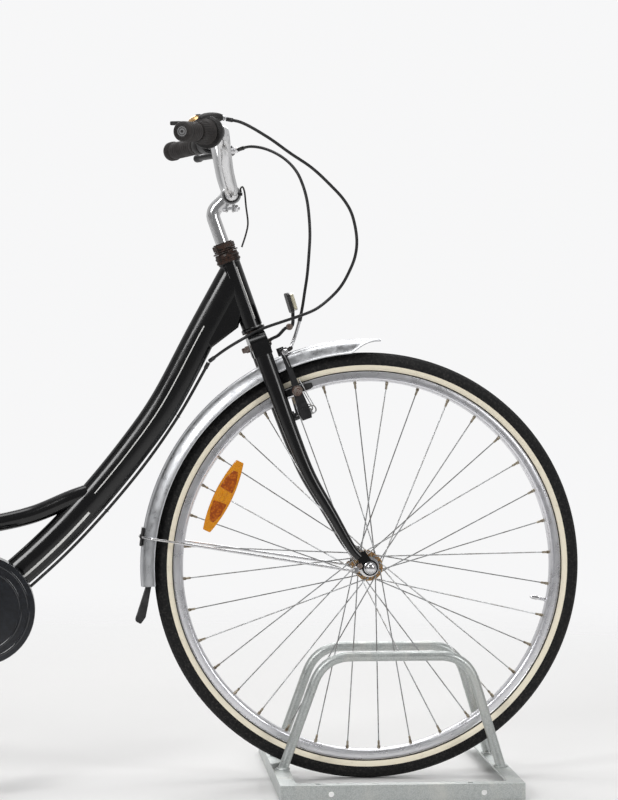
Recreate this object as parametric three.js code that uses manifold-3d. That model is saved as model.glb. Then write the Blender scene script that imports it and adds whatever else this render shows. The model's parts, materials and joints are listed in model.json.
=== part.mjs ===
// City bicycle with a step-through frame, standing in a single-bay front-wheel stand.
// Millimetres. +X is forward, +Y is the rider's left, +Z is up.
// Everything is laid out from the front wheel: its contact with the floor is (0, 0, 0) until the whole
// group is centred over its own base at the end of the file.
import * as THREE from 'three';
import { mergeVertices } from 'three/addons/utils/BufferGeometryUtils.js';
import Module from 'manifold-3d';

const wasm = await Module();
wasm.setup();

// ---------------------------------------------------------------- driving dimensions
const GAP = 0.3;                    // clearance between pieces that touch

const WHEEL_R = 350;                // 28 inch wheel, 40-622 tyre
const TYRE_W = 40;
const BEAD_R = 319.4;               // where the tyre meets the rim
const RIM_R = 319;
const RIM_INNER_R = 302.5;
const RIM_W = 24;
const WHEEL_SEGMENTS = 40;
const SPOKES = 36;
const SPOKE_R = 1.3;
const SPOKE_APART = 1.6;            // leading and trailing spokes pass this far either side of the flange
const SPOKE_PHASE = 3.8;            // degrees, first spoke hole from straight ahead
const REFLECTOR_ANGLE = 154;        // degrees round the front wheel
const WHEELBASE = 1100;

const HEAD_FOOT = [-186, 734];      // X, Z of the head tube's lower end on the steering axis
const HEAD_TILT = 19.6;             // degrees from upright
const HEAD_R = 17.3;
const HEAD_BOTTOM = 8;
const HEAD_TOP = 121;

const BRACKET = [-640, 282];        // X, Z of the bottom bracket
const SHELL_R = 20;
const SHELL_HALF = 34;
const SEAT_TILT = 20;               // degrees from upright
const SEAT_TUBE_R = 15.9;
const SEAT_TUBE_LEN = 470;
const SADDLE_HEIGHT = 640;          // from the bottom bracket along the seat tube to the saddle rails

const MAIN_DEPTH = 51;
const MAIN_WIDTH = 34;
const CRANK_LEN = 170;
const RING_TEETH = 38;
const SPROCKET_TEETH = 18;
const CHAIN_PITCH = 12.7;

const BAR_R = 11.1;
const BAR_END = [-314, 290, 1043];
const FORK_HALF = 52;               // half the spacing of the fork ends
const REAR_HALF = 62;               // half the spacing of the rear ends

const STAND_X = [-160, 226];        // base, back to front
const STAND_Y = [-250, 300];        // base, right to left
const ANGLE_LEG = 26;               // steel angle 26 x 26 x 3
const ANGLE_T = 3;
const HOOP_Y = 75;
const HOOP_R = 8;
const HOOP_TOP = 208;

// ---------------------------------------------------------------- materials
const finish = (color, roughness, metalness) => new THREE.MeshStandardMaterial(
  { color, roughness, metalness });
const BLACK_PAINT = finish(0x0b0b0d, 0.22, 0.1);
const BLACK_STEEL = finish(0x15120f, 0.45, 0.7);
const BLACK_PLASTIC = finish(0x17171a, 0.5, 0);
const BLACK_RUBBER = finish(0x1c1b1d, 0.85, 0);
const SILVER = finish(0xc9ccd0, 0.28, 0.9);
const CHROME = finish(0xdadde0, 0.12, 1);
const GALVANISED = finish(0xaeb5b5, 0.5, 0.8);
const BRASS = finish(0xb58a4a, 0.3, 0.9);
const AMBER = finish(0xf08a10, 0.25, 0);
const VINYL = finish(0x1a191a, 0.6, 0);

// ---------------------------------------------------------------- geometry helpers
const rad = THREE.MathUtils.degToRad;
const v = (x, y, z) => new THREE.Vector3(x, y, z);
const UP = v(0, 1, 0);

function bare(geometry) {
  const plain = geometry.index ? geometry.clone() : geometry;
  plain.deleteAttribute('normal');
  plain.deleteAttribute('uv');
  return mergeVertices(plain, 1e-3);
}

function toSolid(geometry) {
  const plain = bare(geometry);
  return new wasm.Manifold(new wasm.Mesh({
    numProp: 3,
    vertProperties: new Float32Array(plain.attributes.position.array),
    triVerts: new Uint32Array(plain.index.array),
  }));
}

function toGeometry(solid) {
  const mesh = solid.getMesh();
  const geometry = new THREE.BufferGeometry();
  geometry.setAttribute('position', new THREE.BufferAttribute(mesh.vertProperties, 3));
  geometry.setIndex(new THREE.BufferAttribute(mesh.triVerts, 1));
  return geometry;
}

const join = (...pieces) => toGeometry(pieces.map(toSolid).reduce((whole, piece) => whole.add(piece)));

const cut = (base, ...tools) => toGeometry(tools.reduce((left, tool) => left.subtract(toSolid(tool)),
  toSolid(base)));

// Turn a geometry whose axis is Y so that it runs from a point towards another.
function aim(geometry, from, to) {
  const direction = to.clone().sub(from).normalize();
  geometry.applyQuaternion(new THREE.Quaternion().setFromUnitVectors(UP, direction));
  return geometry.translate(from.x, from.y, from.z);
}

function rod(from, to, radius, sides = 12, endRadius = radius) {
  const length = from.distanceTo(to);
  const cylinder = new THREE.CylinderGeometry(endRadius, radius, length, sides);
  return aim(cylinder.translate(0, length / 2, 0), from, to);
}

// A ring or a turned piece about Y. Profile points are [radius, height], counter-clockwise.
function turned(profile, segments = 24, closed = true) {
  const points = profile.map(([r, y]) => new THREE.Vector2(r, y));
  if (closed) points.push(points[0].clone());
  return new THREE.LatheGeometry(points, segments);
}

const ring = (inner, outer, low, high, segments = 20) => turned(
  [[inner, low], [outer, low], [outer, high], [inner, high]], segments);

function roundShape(radiusX, radiusY, sides) {
  const shape = new THREE.Shape();
  for (let i = 0; i < sides; i += 1) {
    const angle = (i / sides) * 2 * Math.PI;
    const point = [radiusX * Math.cos(angle), radiusY * Math.sin(angle)];
    if (i === 0) shape.moveTo(...point);
    else shape.lineTo(...point);
  }
  shape.closePath();
  return shape;
}

function polygon(points) {
  const shape = new THREE.Shape(points.map(([x, y]) => new THREE.Vector2(x, y)));
  shape.closePath();
  return shape;
}

const mirrored = ([x, y, z]) => [x, -y, z];

const smooth = (points) => new THREE.CatmullRomCurve3(points.map((p) => v(...p)), false, 'centripetal');

// Straight runs joined by rounded corners.
function bentPath(points, radius) {
  const path = new THREE.CurvePath();
  const corners = points.map((p) => v(...p));
  let start = corners[0];
  for (let i = 1; i < corners.length - 1; i += 1) {
    const back = corners[i - 1].clone().sub(corners[i]).normalize().multiplyScalar(radius);
    const ahead = corners[i + 1].clone().sub(corners[i]).normalize().multiplyScalar(radius);
    const enter = corners[i].clone().add(back);
    const leave = corners[i].clone().add(ahead);
    path.add(new THREE.LineCurve3(start, enter));
    path.add(new THREE.QuadraticBezierCurve3(enter, corners[i], leave));
    start = leave;
  }
  path.add(new THREE.LineCurve3(start, corners.at(-1)));
  return path;
}

// Sweep a section along a path. On a path in the XZ plane the section's x is Y and its y is in plane.
function sweep(path, section, steps) {
  return new THREE.ExtrudeGeometry(section, { steps, extrudePath: path, bevelEnabled: false });
}

const tube = (path, radius, steps, sides = 10) => sweep(path, roundShape(radius, radius, sides), steps);

// Shrink a swept tube towards its path: scale 1 at the start and `endScale` at the end.
function taper(geometry, path, steps, endScale, holdUntil = 0) {
  const stations = path.getSpacedPoints(steps);
  const position = geometry.attributes.position;
  const point = new THREE.Vector3();
  for (let i = 0; i < position.count; i += 1) {
    point.fromBufferAttribute(position, i);
    const distances = stations.map((station) => station.distanceToSquared(point));
    const nearest = distances.indexOf(Math.min(...distances));
    const along = Math.max(0, nearest / steps - holdUntil) / (1 - holdUntil);
    const scale = 1 + (endScale - 1) * along;
    point.sub(stations[nearest]).multiplyScalar(scale).add(stations[nearest]);
    position.setXYZ(i, point.x, point.y, point.z);
  }
  return geometry;
}

// A flat plate drawn in X and Z, with its thickness along Y.
function plate(shape, yLow, yHigh, curveSegments = 12) {
  const geometry = new THREE.ExtrudeGeometry(shape,
    { depth: yHigh - yLow, bevelEnabled: false, curveSegments });
  return geometry.rotateX(Math.PI / 2).translate(0, yHigh, 0);
}

const box = (x0, x1, y0, y1, z0, z1) => new THREE.BoxGeometry(x1 - x0, y1 - y0, z1 - z0)
  .translate((x0 + x1) / 2, (y0 + y1) / 2, (z0 + z1) / 2);

// Outline round two circles, as a belt goes round two pulleys. Both centres are [x, z].
function beltOutline(front, frontR, rear, rearR, steps = 16) {
  const length = Math.hypot(front[0] - rear[0], front[1] - rear[1]);
  const heading = Math.atan2(front[1] - rear[1], front[0] - rear[0]);
  const spread = Math.acos((frontR - rearR) / length);
  const shape = new THREE.Shape();
  const points = [];
  for (let i = 0; i <= steps; i += 1) {
    const angle = heading - (Math.PI - spread) + (2 * (Math.PI - spread) * i) / steps;
    points.push(new THREE.Vector2(front[0] + frontR * Math.cos(angle),
      front[1] + frontR * Math.sin(angle)));
  }
  for (let i = 0; i <= steps / 2; i += 1) {
    const angle = heading + (Math.PI - spread) + (2 * spread * i) / (steps / 2);
    points.push(new THREE.Vector2(rear[0] + rearR * Math.cos(angle), rear[1] + rearR * Math.sin(angle)));
  }
  shape.setFromPoints(points);
  shape.closePath();
  return shape;
}

// ---------------------------------------------------------------- scene groups
const bicycle = new THREE.Group();

function add(name, geometry, material, parent = bicycle) {
  const mesh = new THREE.Mesh(bare(geometry), material);
  mesh.name = name;
  parent.add(mesh);
  return mesh;
}

// Local +Y runs up the steering axis, local +X is forward of it and local Z is to the rider's right.
const steeringFrame = new THREE.Group();
steeringFrame.position.set(HEAD_FOOT[0], 0, HEAD_FOOT[1]);
steeringFrame.rotation.set(Math.PI / 2, rad(-HEAD_TILT), 0, 'YXZ');
bicycle.add(steeringFrame);

const AXIS_UP = v(-Math.sin(rad(HEAD_TILT)), 0, Math.cos(rad(HEAD_TILT)));
const AXIS_FORWARD = v(Math.cos(rad(HEAD_TILT)), 0, Math.sin(rad(HEAD_TILT)));

// World point at a height along the steering axis, a distance ahead of it and a distance to the left.
const onAxis = (height, ahead = 0, left = 0) => v(HEAD_FOOT[0], left, HEAD_FOOT[1])
  .addScaledVector(AXIS_UP, height).addScaledVector(AXIS_FORWARD, ahead);

const SEAT_UP = v(-Math.sin(rad(SEAT_TILT)), 0, Math.cos(rad(SEAT_TILT)));
const SEAT_FORWARD = v(Math.cos(rad(SEAT_TILT)), 0, Math.sin(rad(SEAT_TILT)));
const onSeat = (height, ahead = 0, left = 0) => v(BRACKET[0], left, BRACKET[1])
  .addScaledVector(SEAT_UP, height).addScaledVector(SEAT_FORWARD, ahead);

// ---------------------------------------------------------------- wheels
function tyre() {
  const half = TYRE_W / 2;
  return turned([
    [BEAD_R, -half * 0.55], [BEAD_R + 12, -half], [BEAD_R + 22, -half * 0.84],
      [WHEEL_R - 1.5, -half * 0.42],
    [WHEEL_R, 0],
    [WHEEL_R - 1.5, half * 0.42], [BEAD_R + 22, half * 0.84], [BEAD_R + 12, half], [BEAD_R, half * 0.55],
  ], WHEEL_SEGMENTS);
}

function rim() {
  const half = RIM_W / 2;
  return turned([
    [RIM_INNER_R, -half * 0.45], [RIM_INNER_R + 5, -half], [RIM_R, -half],
    [RIM_R, half], [RIM_INNER_R + 5, half], [RIM_INNER_R, half * 0.45],
  ], WHEEL_SEGMENTS);
}

// Hub shell bored for its axle, with tangential spokes crossing from two flanges to the rim.
function hubAndSpokes({ shellR, flangeR, flangeHalf, boreR, halfLength }) {
  const shell = turned([
    [boreR, -halfLength], [shellR, -halfLength], [shellR, -flangeHalf - 3], [flangeR, -flangeHalf - 3],
    [flangeR, -flangeHalf + 3], [shellR, -flangeHalf + 3], [shellR, flangeHalf - 3],
    [flangeR, flangeHalf - 3], [flangeR, flangeHalf + 3], [shellR, flangeHalf + 3],
    [shellR, halfLength], [boreR, halfLength],
  ], 14);
  const holeR = flangeR - 4;
  const lead = rad(60);
  const rimEnd = RIM_INNER_R * Math.cos(Math.PI / WHEEL_SEGMENTS) - 0.6;
  const spokes = Array.from({ length: SPOKES }, (_, k) => {
    const angle = rad(SPOKE_PHASE + (k * 360) / SPOKES);
    const side = k % 2 === 0 ? -1 : 1;
    const leading = k % 4 === 0 || k % 4 === 3;
    const hole = angle + (leading ? lead : -lead);
    const apart = leading ? SPOKE_APART : -SPOKE_APART;
    const inner = v(holeR * Math.cos(hole), side * (flangeHalf + apart), holeR * Math.sin(hole));
    const outer = v(rimEnd * Math.cos(angle), side * (3.5 + apart), rimEnd * Math.sin(angle));
    return rod(inner, outer, SPOKE_R, 3);
  });
  return join(shell, ...spokes);
}

function valve() {
  const angle = rad(SPOKE_PHASE - 15);
  const top = RIM_INNER_R * Math.cos(Math.PI / WHEEL_SEGMENTS) - GAP;
  const at = (r) => v(r * Math.cos(angle), 0, r * Math.sin(angle));
  return join(rod(at(top), at(top - 14), 3.2, 8), rod(at(top - 13), at(top - 27), 2.4, 8));
}

// Lens-shaped reflector lying along the wheel, outside the right-hand spokes.
function spokeReflector(angleDeg) {
  const half = 66;
  const shape = new THREE.Shape();
  shape.moveTo(-half, -9);
  shape.quadraticCurveTo(0, -16, half, -9);
  shape.lineTo(half, 7);
  shape.quadraticCurveTo(0, 25, -half, 7);
  shape.closePath();
  const angle = rad(angleDeg);
  const radius = 262;
  return plate(shape, -20, -13, 5).rotateY(Math.PI / 2 - angle)
    .translate(radius * Math.cos(angle), 0, radius * Math.sin(angle));
}

function wheel(prefix, x, hub) {
  const group = new THREE.Group();
  group.position.set(x, 0, WHEEL_R);
  bicycle.add(group);
  add(`${prefix}_tyre`, tyre(), BLACK_RUBBER, group);
  add(`${prefix}_rim`, rim(), SILVER, group);
  add(`${prefix}_hub_and_spokes`, hubAndSpokes(hub), CHROME, group);
  add(`${prefix}_valve`, valve(), CHROME, group);
  return group;
}

const FRONT_HUB = { shellR: 13, flangeR: 23, flangeHalf: 31, boreR: 6.2, halfLength: 38 };
const REAR_HUB = { shellR: 27, flangeR: 37, flangeHalf: 28, boreR: 6.2, halfLength: 34 };
const frontWheel = wheel('front', 0, FRONT_HUB);
add('front_spoke_reflector', spokeReflector(REFLECTOR_ANGLE), AMBER, frontWheel);
wheel('rear', -WHEELBASE, REAR_HUB);

// Axle with its cone spacers, and a nut outside each fork end.
function axle(endY, plateT, spacerFrom) {
  const nutLow = endY + plateT / 2 + GAP;
  const inner = endY - plateT / 2 - GAP;
  return join(
    rod(v(0, -nutLow - 12, 0), v(0, nutLow + 12, 0), 4.8, 8),
    ...[-1, 1].flatMap((side) => [
      rod(v(0, side * spacerFrom, 0), v(0, side * inner, 0), 8, 8),
      rod(v(0, side * nutLow, 0), v(0, side * (nutLow + 2), 0), 10.5, 8),
      rod(v(0, side * (nutLow + 1.5), 0), v(0, side * (nutLow + 9), 0), 8.6, 6),
    ]),
  );
}

const FORK_PLATE = 6;
const REAR_PLATE = 5;
add('front_axle', axle(FORK_HALF, FORK_PLATE, FRONT_HUB.halfLength + GAP), CHROME).position.set(0, 0,
  WHEEL_R);
add('rear_axle', axle(REAR_HALF, REAR_PLATE, REAR_HALF - 8), CHROME).position.set(-WHEELBASE, 0, WHEEL_R);

// ---------------------------------------------------------------- head tube and headset
// The bearing cups are pressed into the head tube's ends, so the three are turned as one piece.
add('head_tube', turned([[13.4, GAP], [19, GAP], [19.5, 4], [HEAD_R, HEAD_BOTTOM], [HEAD_R, HEAD_TOP],
  [20, HEAD_TOP + 6], [18.5, HEAD_TOP + 16], [13.4, HEAD_TOP + 16], [13.4, HEAD_TOP], [15.5, HEAD_TOP],
  [15.5, HEAD_BOTTOM], [13.4, HEAD_BOTTOM]], 20), BLACK_PAINT, steeringFrame);
add('headset_locknut', turned([[13.4, HEAD_TOP + 16 + GAP], [20.5, HEAD_TOP + 16 + GAP],
  [20.5, HEAD_TOP + 19], [17, HEAD_TOP + 21], [17, HEAD_TOP + 33], [13.4, HEAD_TOP + 33]], 12),
BLACK_STEEL, steeringFrame);

// ---------------------------------------------------------------- frame tubes
const headCutter = () => rod(onAxis(-40), onAxis(170), HEAD_R + GAP, 24);
const shellCutter = () =>
  rod(v(BRACKET[0], -90, BRACKET[1]), v(BRACKET[0], 90, BRACKET[1]), SHELL_R + GAP, 24);
const seatCutter = () => rod(onSeat(0), onSeat(SEAT_TUBE_LEN + 50), SEAT_TUBE_R + GAP, 24);

const MAIN_PATH = smooth([
  [onAxis(98).x, 0, onAxis(98).z], [-270, 0, 733], [-335, 0, 612], [-386, 0, 540], [-450, 0, 462],
  [-514, 0, 394], [-587, 0, 329], [BRACKET[0] + 6, 0, BRACKET[1] + 5],
]);

const mainTubeBody = (extra) =>
  sweep(MAIN_PATH, roundShape(MAIN_WIDTH / 2 + extra, MAIN_DEPTH / 2 + extra, 14), 12);

function mainTube() {
  const gusset = plate(polygon([[-250, 712], [-212, 741], [-196, 790], [-262, 740]]), -12, 12);
  return cut(join(mainTubeBody(0), gusset), headCutter(), shellCutter(), seatCutter());
}

add('main_tube', mainTube(), BLACK_PAINT);

const UPPER_PATH = smooth([[-450, 0, 474], [-484, 0, 462], [-545, 0, 437], [-604, 0, 423], [-660, 0, 415],
  [onSeat(140).x, 0, onSeat(140).z]]);
add('upper_tube', cut(tube(UPPER_PATH, 14.3, 10, 14), mainTubeBody(GAP), seatCutter()), BLACK_PAINT);

function seatTube() {
  const shell = rod(v(BRACKET[0], -SHELL_HALF, BRACKET[1]), v(BRACKET[0], SHELL_HALF, BRACKET[1]), SHELL_R,
    24);
  const bore = rod(v(BRACKET[0], -SHELL_HALF - 1, BRACKET[1]), v(BRACKET[0], SHELL_HALF + 1, BRACKET[1]),
    15, 20);
  const post = rod(onSeat(60), onSeat(SEAT_TUBE_LEN + 1), 13.7, 20);
  return cut(join(rod(onSeat(0), onSeat(SEAT_TUBE_LEN), SEAT_TUBE_R, 20), shell), bore, post);
}

add('seat_tube', seatTube(), BLACK_PAINT);

// Rear dropout: a plate round the axle, drilled for it.
function rearEnd(side) {
  const y = side * REAR_HALF;
  const disc = rod(v(-WHEELBASE, y - REAR_PLATE / 2, WHEEL_R), v(-WHEELBASE, y + REAR_PLATE / 2, WHEEL_R),
    19, 16);
  const tab = box(-WHEELBASE, -WHEELBASE + 42, y - REAR_PLATE / 2, y + REAR_PLATE / 2, WHEEL_R - 12,
    WHEEL_R + 10);
  return join(disc, tab);
}

const axleHole = (x, y) => rod(v(x, y - 8, WHEEL_R), v(x, y + 8, WHEEL_R), 5.4, 12);

for (const [name, side] of [['left', 1], ['right', -1]]) {
  const chainStay = tube(smooth([[BRACKET[0] - 12, side * 22, BRACKET[1] + 2], [-740, side * 30, 296],
    [-860, side * 38, 314], [-1000, side * 56, 335], [-WHEELBASE + 30, side * REAR_HALF, WHEEL_R - 4]]),
      8.5, 8, 10);
  const extras = side > 0 ? [box(-724, -700, 20, 37.5, 250, 292)] : [];
  add(`chain_stay_${name}`, cut(join(chainStay, rearEnd(side), ...extras), shellCutter(), seatCutter(),
    axleHole(-WHEELBASE, side * REAR_HALF)), BLACK_PAINT);
  const seatStay = tube(smooth([[onSeat(440).x, side * 22, onSeat(440).z], [-900, side * 40, 600],
    [-1000, side * 52, 480], [-WHEELBASE + 4, side * (REAR_HALF + 0.5), WHEEL_R + 26]]), 7, 8, 10);
  const lug = rod(v(onSeat(440).x, side * 23, onSeat(440).z), v(onSeat(440).x, side * 8, onSeat(440).z), 7,
    10);
  const endCutter = rod(v(-WHEELBASE, side * (REAR_HALF - 12), WHEEL_R),
    v(-WHEELBASE, side * (REAR_HALF + 12),
    WHEEL_R), 19 + GAP, 16);
  add(`seat_stay_${name}`, cut(join(seatStay, lug), seatCutter(), endCutter), BLACK_PAINT);
}

// ---------------------------------------------------------------- seat
const seatFrame = new THREE.Group();
seatFrame.position.set(BRACKET[0], 0, BRACKET[1]);
seatFrame.rotation.set(Math.PI / 2, rad(-SEAT_TILT), 0, 'YXZ');
bicycle.add(seatFrame);
add('seat_clamp', join(ring(SEAT_TUBE_R + GAP, 19.5, 452, 466),
  box(-32, -17.5, 455, 463, -7, 7)), SILVER, seatFrame);

function seatPost() {
  const post = rod(onSeat(250), onSeat(SADDLE_HEIGHT - 8), 13.1, 16);
  const clamp = rod(onSeat(SADDLE_HEIGHT - 16, 0, -24), onSeat(SADDLE_HEIGHT - 16, 0, 24), 13, 12);
  const railZ = onSeat(SADDLE_HEIGHT).z - 12;
  const rails = [-1, 1].map((side) =>
    tube(smooth([[-945, side * 44, railZ + 28], [-915, side * 30, railZ + 4],
    [-875, side * 22, railZ - 2], [-825, side * 20, railZ], [-770, side * 12, railZ + 26]]), 3.6, 8, 6));
  return join(post, clamp, ...rails);
}

add('seat_post', seatPost(), CHROME);

// Saddle: a wide rear and a narrow nose, lofted from crowned sections.
function saddle() {
  const stations = [[-1000, 40, 34], [-985, 84, 52], [-945, 104, 60], [-895, 92, 54], [-845, 58, 46],
    [-795, 34, 40], [-750, 25, 34], [-728, 14, 22]];
  const baseZ = onSeat(SADDLE_HEIGHT).z + 29;
  const sides = 12;
  const geometry = new THREE.CylinderGeometry(1, 1, 1, sides, stations.length - 1);
  const position = geometry.attributes.position;
  for (let i = 0; i < position.count; i += 1) {
    const row = Math.round((position.getY(i) + 0.5) * (stations.length - 1));
    const [x, halfWidth, height] = stations[row];
    const across = -position.getX(i);
    const upward = position.getZ(i);
    const lift = upward > 0 ? upward * height : upward * 8;
    position.setXYZ(i, x, across * halfWidth, baseZ + lift);
  }
  return geometry;
}

add('saddle', saddle(), VINYL);

// ---------------------------------------------------------------- drivetrain
const CHAIN_Y = -46;
const ringRadius = (teeth) => (teeth * CHAIN_PITCH) / (2 * Math.PI);

function toothed(teeth, bore, yLow, yHigh) {
  const pitchR = ringRadius(teeth);
  const points = Array.from({ length: teeth * 2 }, (_, i) => {
    const r = i % 2 === 0 ? pitchR + 2.5 : pitchR - 3.5;
    const angle = (i / (teeth * 2)) * 2 * Math.PI;
    return [r * Math.cos(angle), r * Math.sin(angle)];
  });
  return cut(plate(polygon(points), yLow, yHigh), rod(v(0, yLow - 5, 0), v(0, yHigh + 5, 0), bore, 16));
}

const crank = new THREE.Group();
crank.position.set(BRACKET[0], 0, BRACKET[1]);
bicycle.add(crank);
add('bottom_bracket_axle', join(rod(v(0, -84, 0), v(0, 84, 0), 8, 12),
  rod(v(0, -SHELL_HALF + 2, 0), v(0, SHELL_HALF - 2, 0), 14.5, 16)), CHROME, crank);

// Crank arm with its pedal spindle; direction +1 points up, -1 points down.
function crankArm(side, direction) {
  const inner = side * 78;
  const outer = side * 91;
  const profile = polygon([[-14, 0], [-10, direction * CRANK_LEN], [10, direction * CRANK_LEN], [14, 0]]);
  const arm = plate(profile, Math.min(inner, outer), Math.max(inner, outer));
  const boss = rod(v(0, inner, 0), v(0, outer + side, 0), 18, 16);
  const eye = rod(v(0, inner, direction * CRANK_LEN), v(0, outer, direction * CRANK_LEN), 13, 14);
  const spindle = rod(v(0, outer - side * 2, direction * CRANK_LEN),
    v(0, side * 196, direction * CRANK_LEN), 6, 10);
  const pocket = rod(v(0, side * 70, 0), v(0, side * 84.3, 0), 8 + GAP, 12);
  return { body: join(arm, boss, eye, spindle), pocket };
}

const rightArm = crankArm(-1, -1);
const chainring = join(toothed(RING_TEETH, 12, CHAIN_Y - 1.5, CHAIN_Y + 1.5),
  ring(8 + GAP, 16, CHAIN_Y - 1.5, CHAIN_Y + 1.5, 16));
const sleeve = ring(8 + GAP, 13, -79, CHAIN_Y, 16);
add('crank_arm_right', join(cut(rightArm.body, rightArm.pocket), sleeve, chainring), SILVER, crank);
const leftArm = crankArm(1, 1);
add('crank_arm_left', cut(leftArm.body, leftArm.pocket), SILVER, crank);

// Pedal: a block with two tread bars and an open cage between them, free on its spindle.
function pedal(side) {
  const near = Math.min(side * 96, side * 190);
  const far = Math.max(side * 96, side * 190);
  const outline = new THREE.Shape();
  const section = [[-44, -9], [-30, -14], [30, -14], [44, -9], [44, 9], [30, 14], [-30, 14], [-44, 9]];
  outline.setFromPoints(section.map(([x, z]) => new THREE.Vector2(x, z)));
  const body = plate(outline, near, far);
  const windows = [-1, 1].map((end) =>
    box(end > 0 ? 14 : -34, end > 0 ? 34 : -14, near + 14, far - 14, -20, 20));
  const bore = rod(v(0, near - 5, 0), v(0, far + 5, 0), 6.6, 12);
  return cut(body, bore, ...windows).rotateY(rad(78));
}

add('pedal_right', pedal(-1), BLACK_PLASTIC, crank).position.set(0, 0, -CRANK_LEN);
add('pedal_left', pedal(1), BLACK_PLASTIC, crank).position.set(0, 0, CRANK_LEN);

add('rear_sprocket', toothed(SPROCKET_TEETH, 14, CHAIN_Y - 1.5, CHAIN_Y + 1.5), BLACK_STEEL)
  .position.set(-WHEELBASE, 0, WHEEL_R);

function chain() {
  const rear = [-WHEELBASE, WHEEL_R];
  const outer = beltOutline(BRACKET, ringRadius(RING_TEETH) + 9, rear, ringRadius(SPROCKET_TEETH) + 9);
  const inner = beltOutline(BRACKET, ringRadius(RING_TEETH) + 3.5, rear, ringRadius(SPROCKET_TEETH) + 3.5);
  return cut(plate(outer, CHAIN_Y - 3.5, CHAIN_Y + 3.5), plate(inner, CHAIN_Y - 10, CHAIN_Y + 10));
}

add('chain', chain(), BLACK_STEEL);

// Chain case: a deep dish, open towards the wheel, with a round hole for the crank.
function chainCase() {
  const rear = [-WHEELBASE, WHEEL_R];
  const outer = plate(beltOutline(BRACKET, 89, rear, 58, 20), -76, -38);
  const hollow = plate(beltOutline(BRACKET, 87, rear, 56, 20), -74, -30);
  const crankHole = rod(v(BRACKET[0], -90, BRACKET[1]), v(BRACKET[0], -60, BRACKET[1]), 19, 24);
  const axleWindow = rod(v(-WHEELBASE, -90, WHEEL_R), v(-WHEELBASE, -60, WHEEL_R), 16, 20);
  const stayNotch = box(-WHEELBASE - 10, -WHEELBASE + 70, -70, -30, WHEEL_R + 20, WHEEL_R + 90);
  return cut(outer, hollow, crankHole, axleWindow, stayNotch);
}

add('chain_case', chainCase(), BLACK_PAINT);

// ---------------------------------------------------------------- fork
function forkCrown() {
  const steerer = rod(v(0, -36, 0), v(0, HEAD_TOP + 31, 0), 12.7, 20);
  const bore = rod(v(0, 30, 0), v(0, HEAD_TOP + 40, 0), 11.5, 20);
  const outline = polygon([[-20, -GAP], [-48, -20], [-48, -38], [-28, -38], [-20, -30], [20, -30],
    [28, -38],
    [48, -38], [48, -20], [20, -GAP]]);
  const block = new THREE.ExtrudeGeometry(outline, { depth: 32, bevelEnabled: false })
    .rotateY(Math.PI / 2).translate(-15, 0, 0);
  const bolt = rod(v(-26, -24, 0), v(30, -24, 0), 4, 8);
  return cut(join(steerer, block, bolt), bore);
}

add('fork_crown', forkCrown(), BLACK_PAINT, steeringFrame);

const BOSS_HEIGHT = -152;
const BOSS_LEFT = 41;
const BOSS_REACH = 25;

for (const [name, side] of [['left', 1], ['right', -1]]) {
  const at = (height, ahead, left) => onAxis(height, ahead, side * left).toArray();
  const steps = 14;
  const path = smooth([at(-39.6, 0, 38), at(-90, 0, 41), at(-170, 0, 45), at(-250, 4, 49),
    at(-320, 17, 51.5),
    [-28, side * FORK_HALF, 379], [-15, side * FORK_HALF, 364]]);
  const blade = taper(sweep(path, roundShape(10.5, 14, 10), steps), path, steps, 0.5, 0.2);
  const yLow = side * FORK_HALF - FORK_PLATE / 2;
  const end = rod(v(0, yLow, WHEEL_R), v(0, yLow + FORK_PLATE, WHEEL_R), 12.5, 16);
  const web = plate(polygon([[-24, 366], [-17, 350], [-10, 346], [9, 358], [-6, 372]]), yLow,
    yLow + FORK_PLATE);
  const boss = rod(onAxis(BOSS_HEIGHT, 0, side * BOSS_LEFT),
    onAxis(BOSS_HEIGHT, BOSS_REACH, side * BOSS_LEFT), 6, 12);
  add(`fork_blade_${name}`, cut(join(blade, end, web, boss), axleHole(0, side * FORK_HALF)), BLACK_PAINT);
}

// ---------------------------------------------------------------- front brake
// Arm with its pad, in the steering frame's own directions: height, ahead and left.
function brakeArm(side) {
  const bar = new THREE.BoxGeometry(12, 120, 9).translate(BOSS_REACH + 7.5, BOSS_HEIGHT + 51,
    -side * (BOSS_LEFT - 2));
  const padHeight = BOSS_HEIGHT + 39;
  const pad = new THREE.BoxGeometry(58, 10, 9).translate(BOSS_REACH + 5, padHeight, -side * 20);
  const post = rod(v(BOSS_REACH + 7.5, padHeight, -side * 22), v(BOSS_REACH + 7.5, padHeight, -side * 48),
    4.5, 8);
  return join(bar, pad, post);
}

add('brake_arm_left', brakeArm(1), BLACK_STEEL, steeringFrame);
add('brake_arm_right', brakeArm(-1), BLACK_STEEL, steeringFrame);

// ---------------------------------------------------------------- stem and handlebar
const CLAMP = v(-224, 0, 957);
const BEND = onAxis(208);

function stem() {
  const neck = tube(bentPath([onAxis(46).toArray(), BEND.toArray(), [CLAMP.x - 6, 0, CLAMP.z - 4]], 14),
    11.1, 14, 14);
  const barrel = rod(v(CLAMP.x, -21, CLAMP.z), v(CLAMP.x, 21, CLAMP.z), 16, 18);
  const lug = box(CLAMP.x - 9, CLAMP.x + 7, -11, 11, CLAMP.z - 30, CLAMP.z - 8);
  const bore = rod(v(CLAMP.x, -40, CLAMP.z), v(CLAMP.x, 40, CLAMP.z), BAR_R + 1, 18);
  return cut(join(neck, barrel, lug), bore);
}

add('stem', stem(), SILVER);

// The bar's left half, from the clamp out to the grip end; the right half mirrors it.
const BAR_HALF = [[-224, 0, 957], [-224, 28, 957], [-226, 48, 965], [-233, 66, 990], [-238, 84, 1020],
  [-242, 112, 1044], [-246.2, 150, 1050.4], [-250.1, 158, 1050],
  [-280, 220, 1046.7], BAR_END];
const BAR_PATH = smooth([...BAR_HALF.slice(1).reverse().map(mirrored), ...BAR_HALF]);
add('handlebar', tube(BAR_PATH, BAR_R, 32, 10), SILVER);

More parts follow.
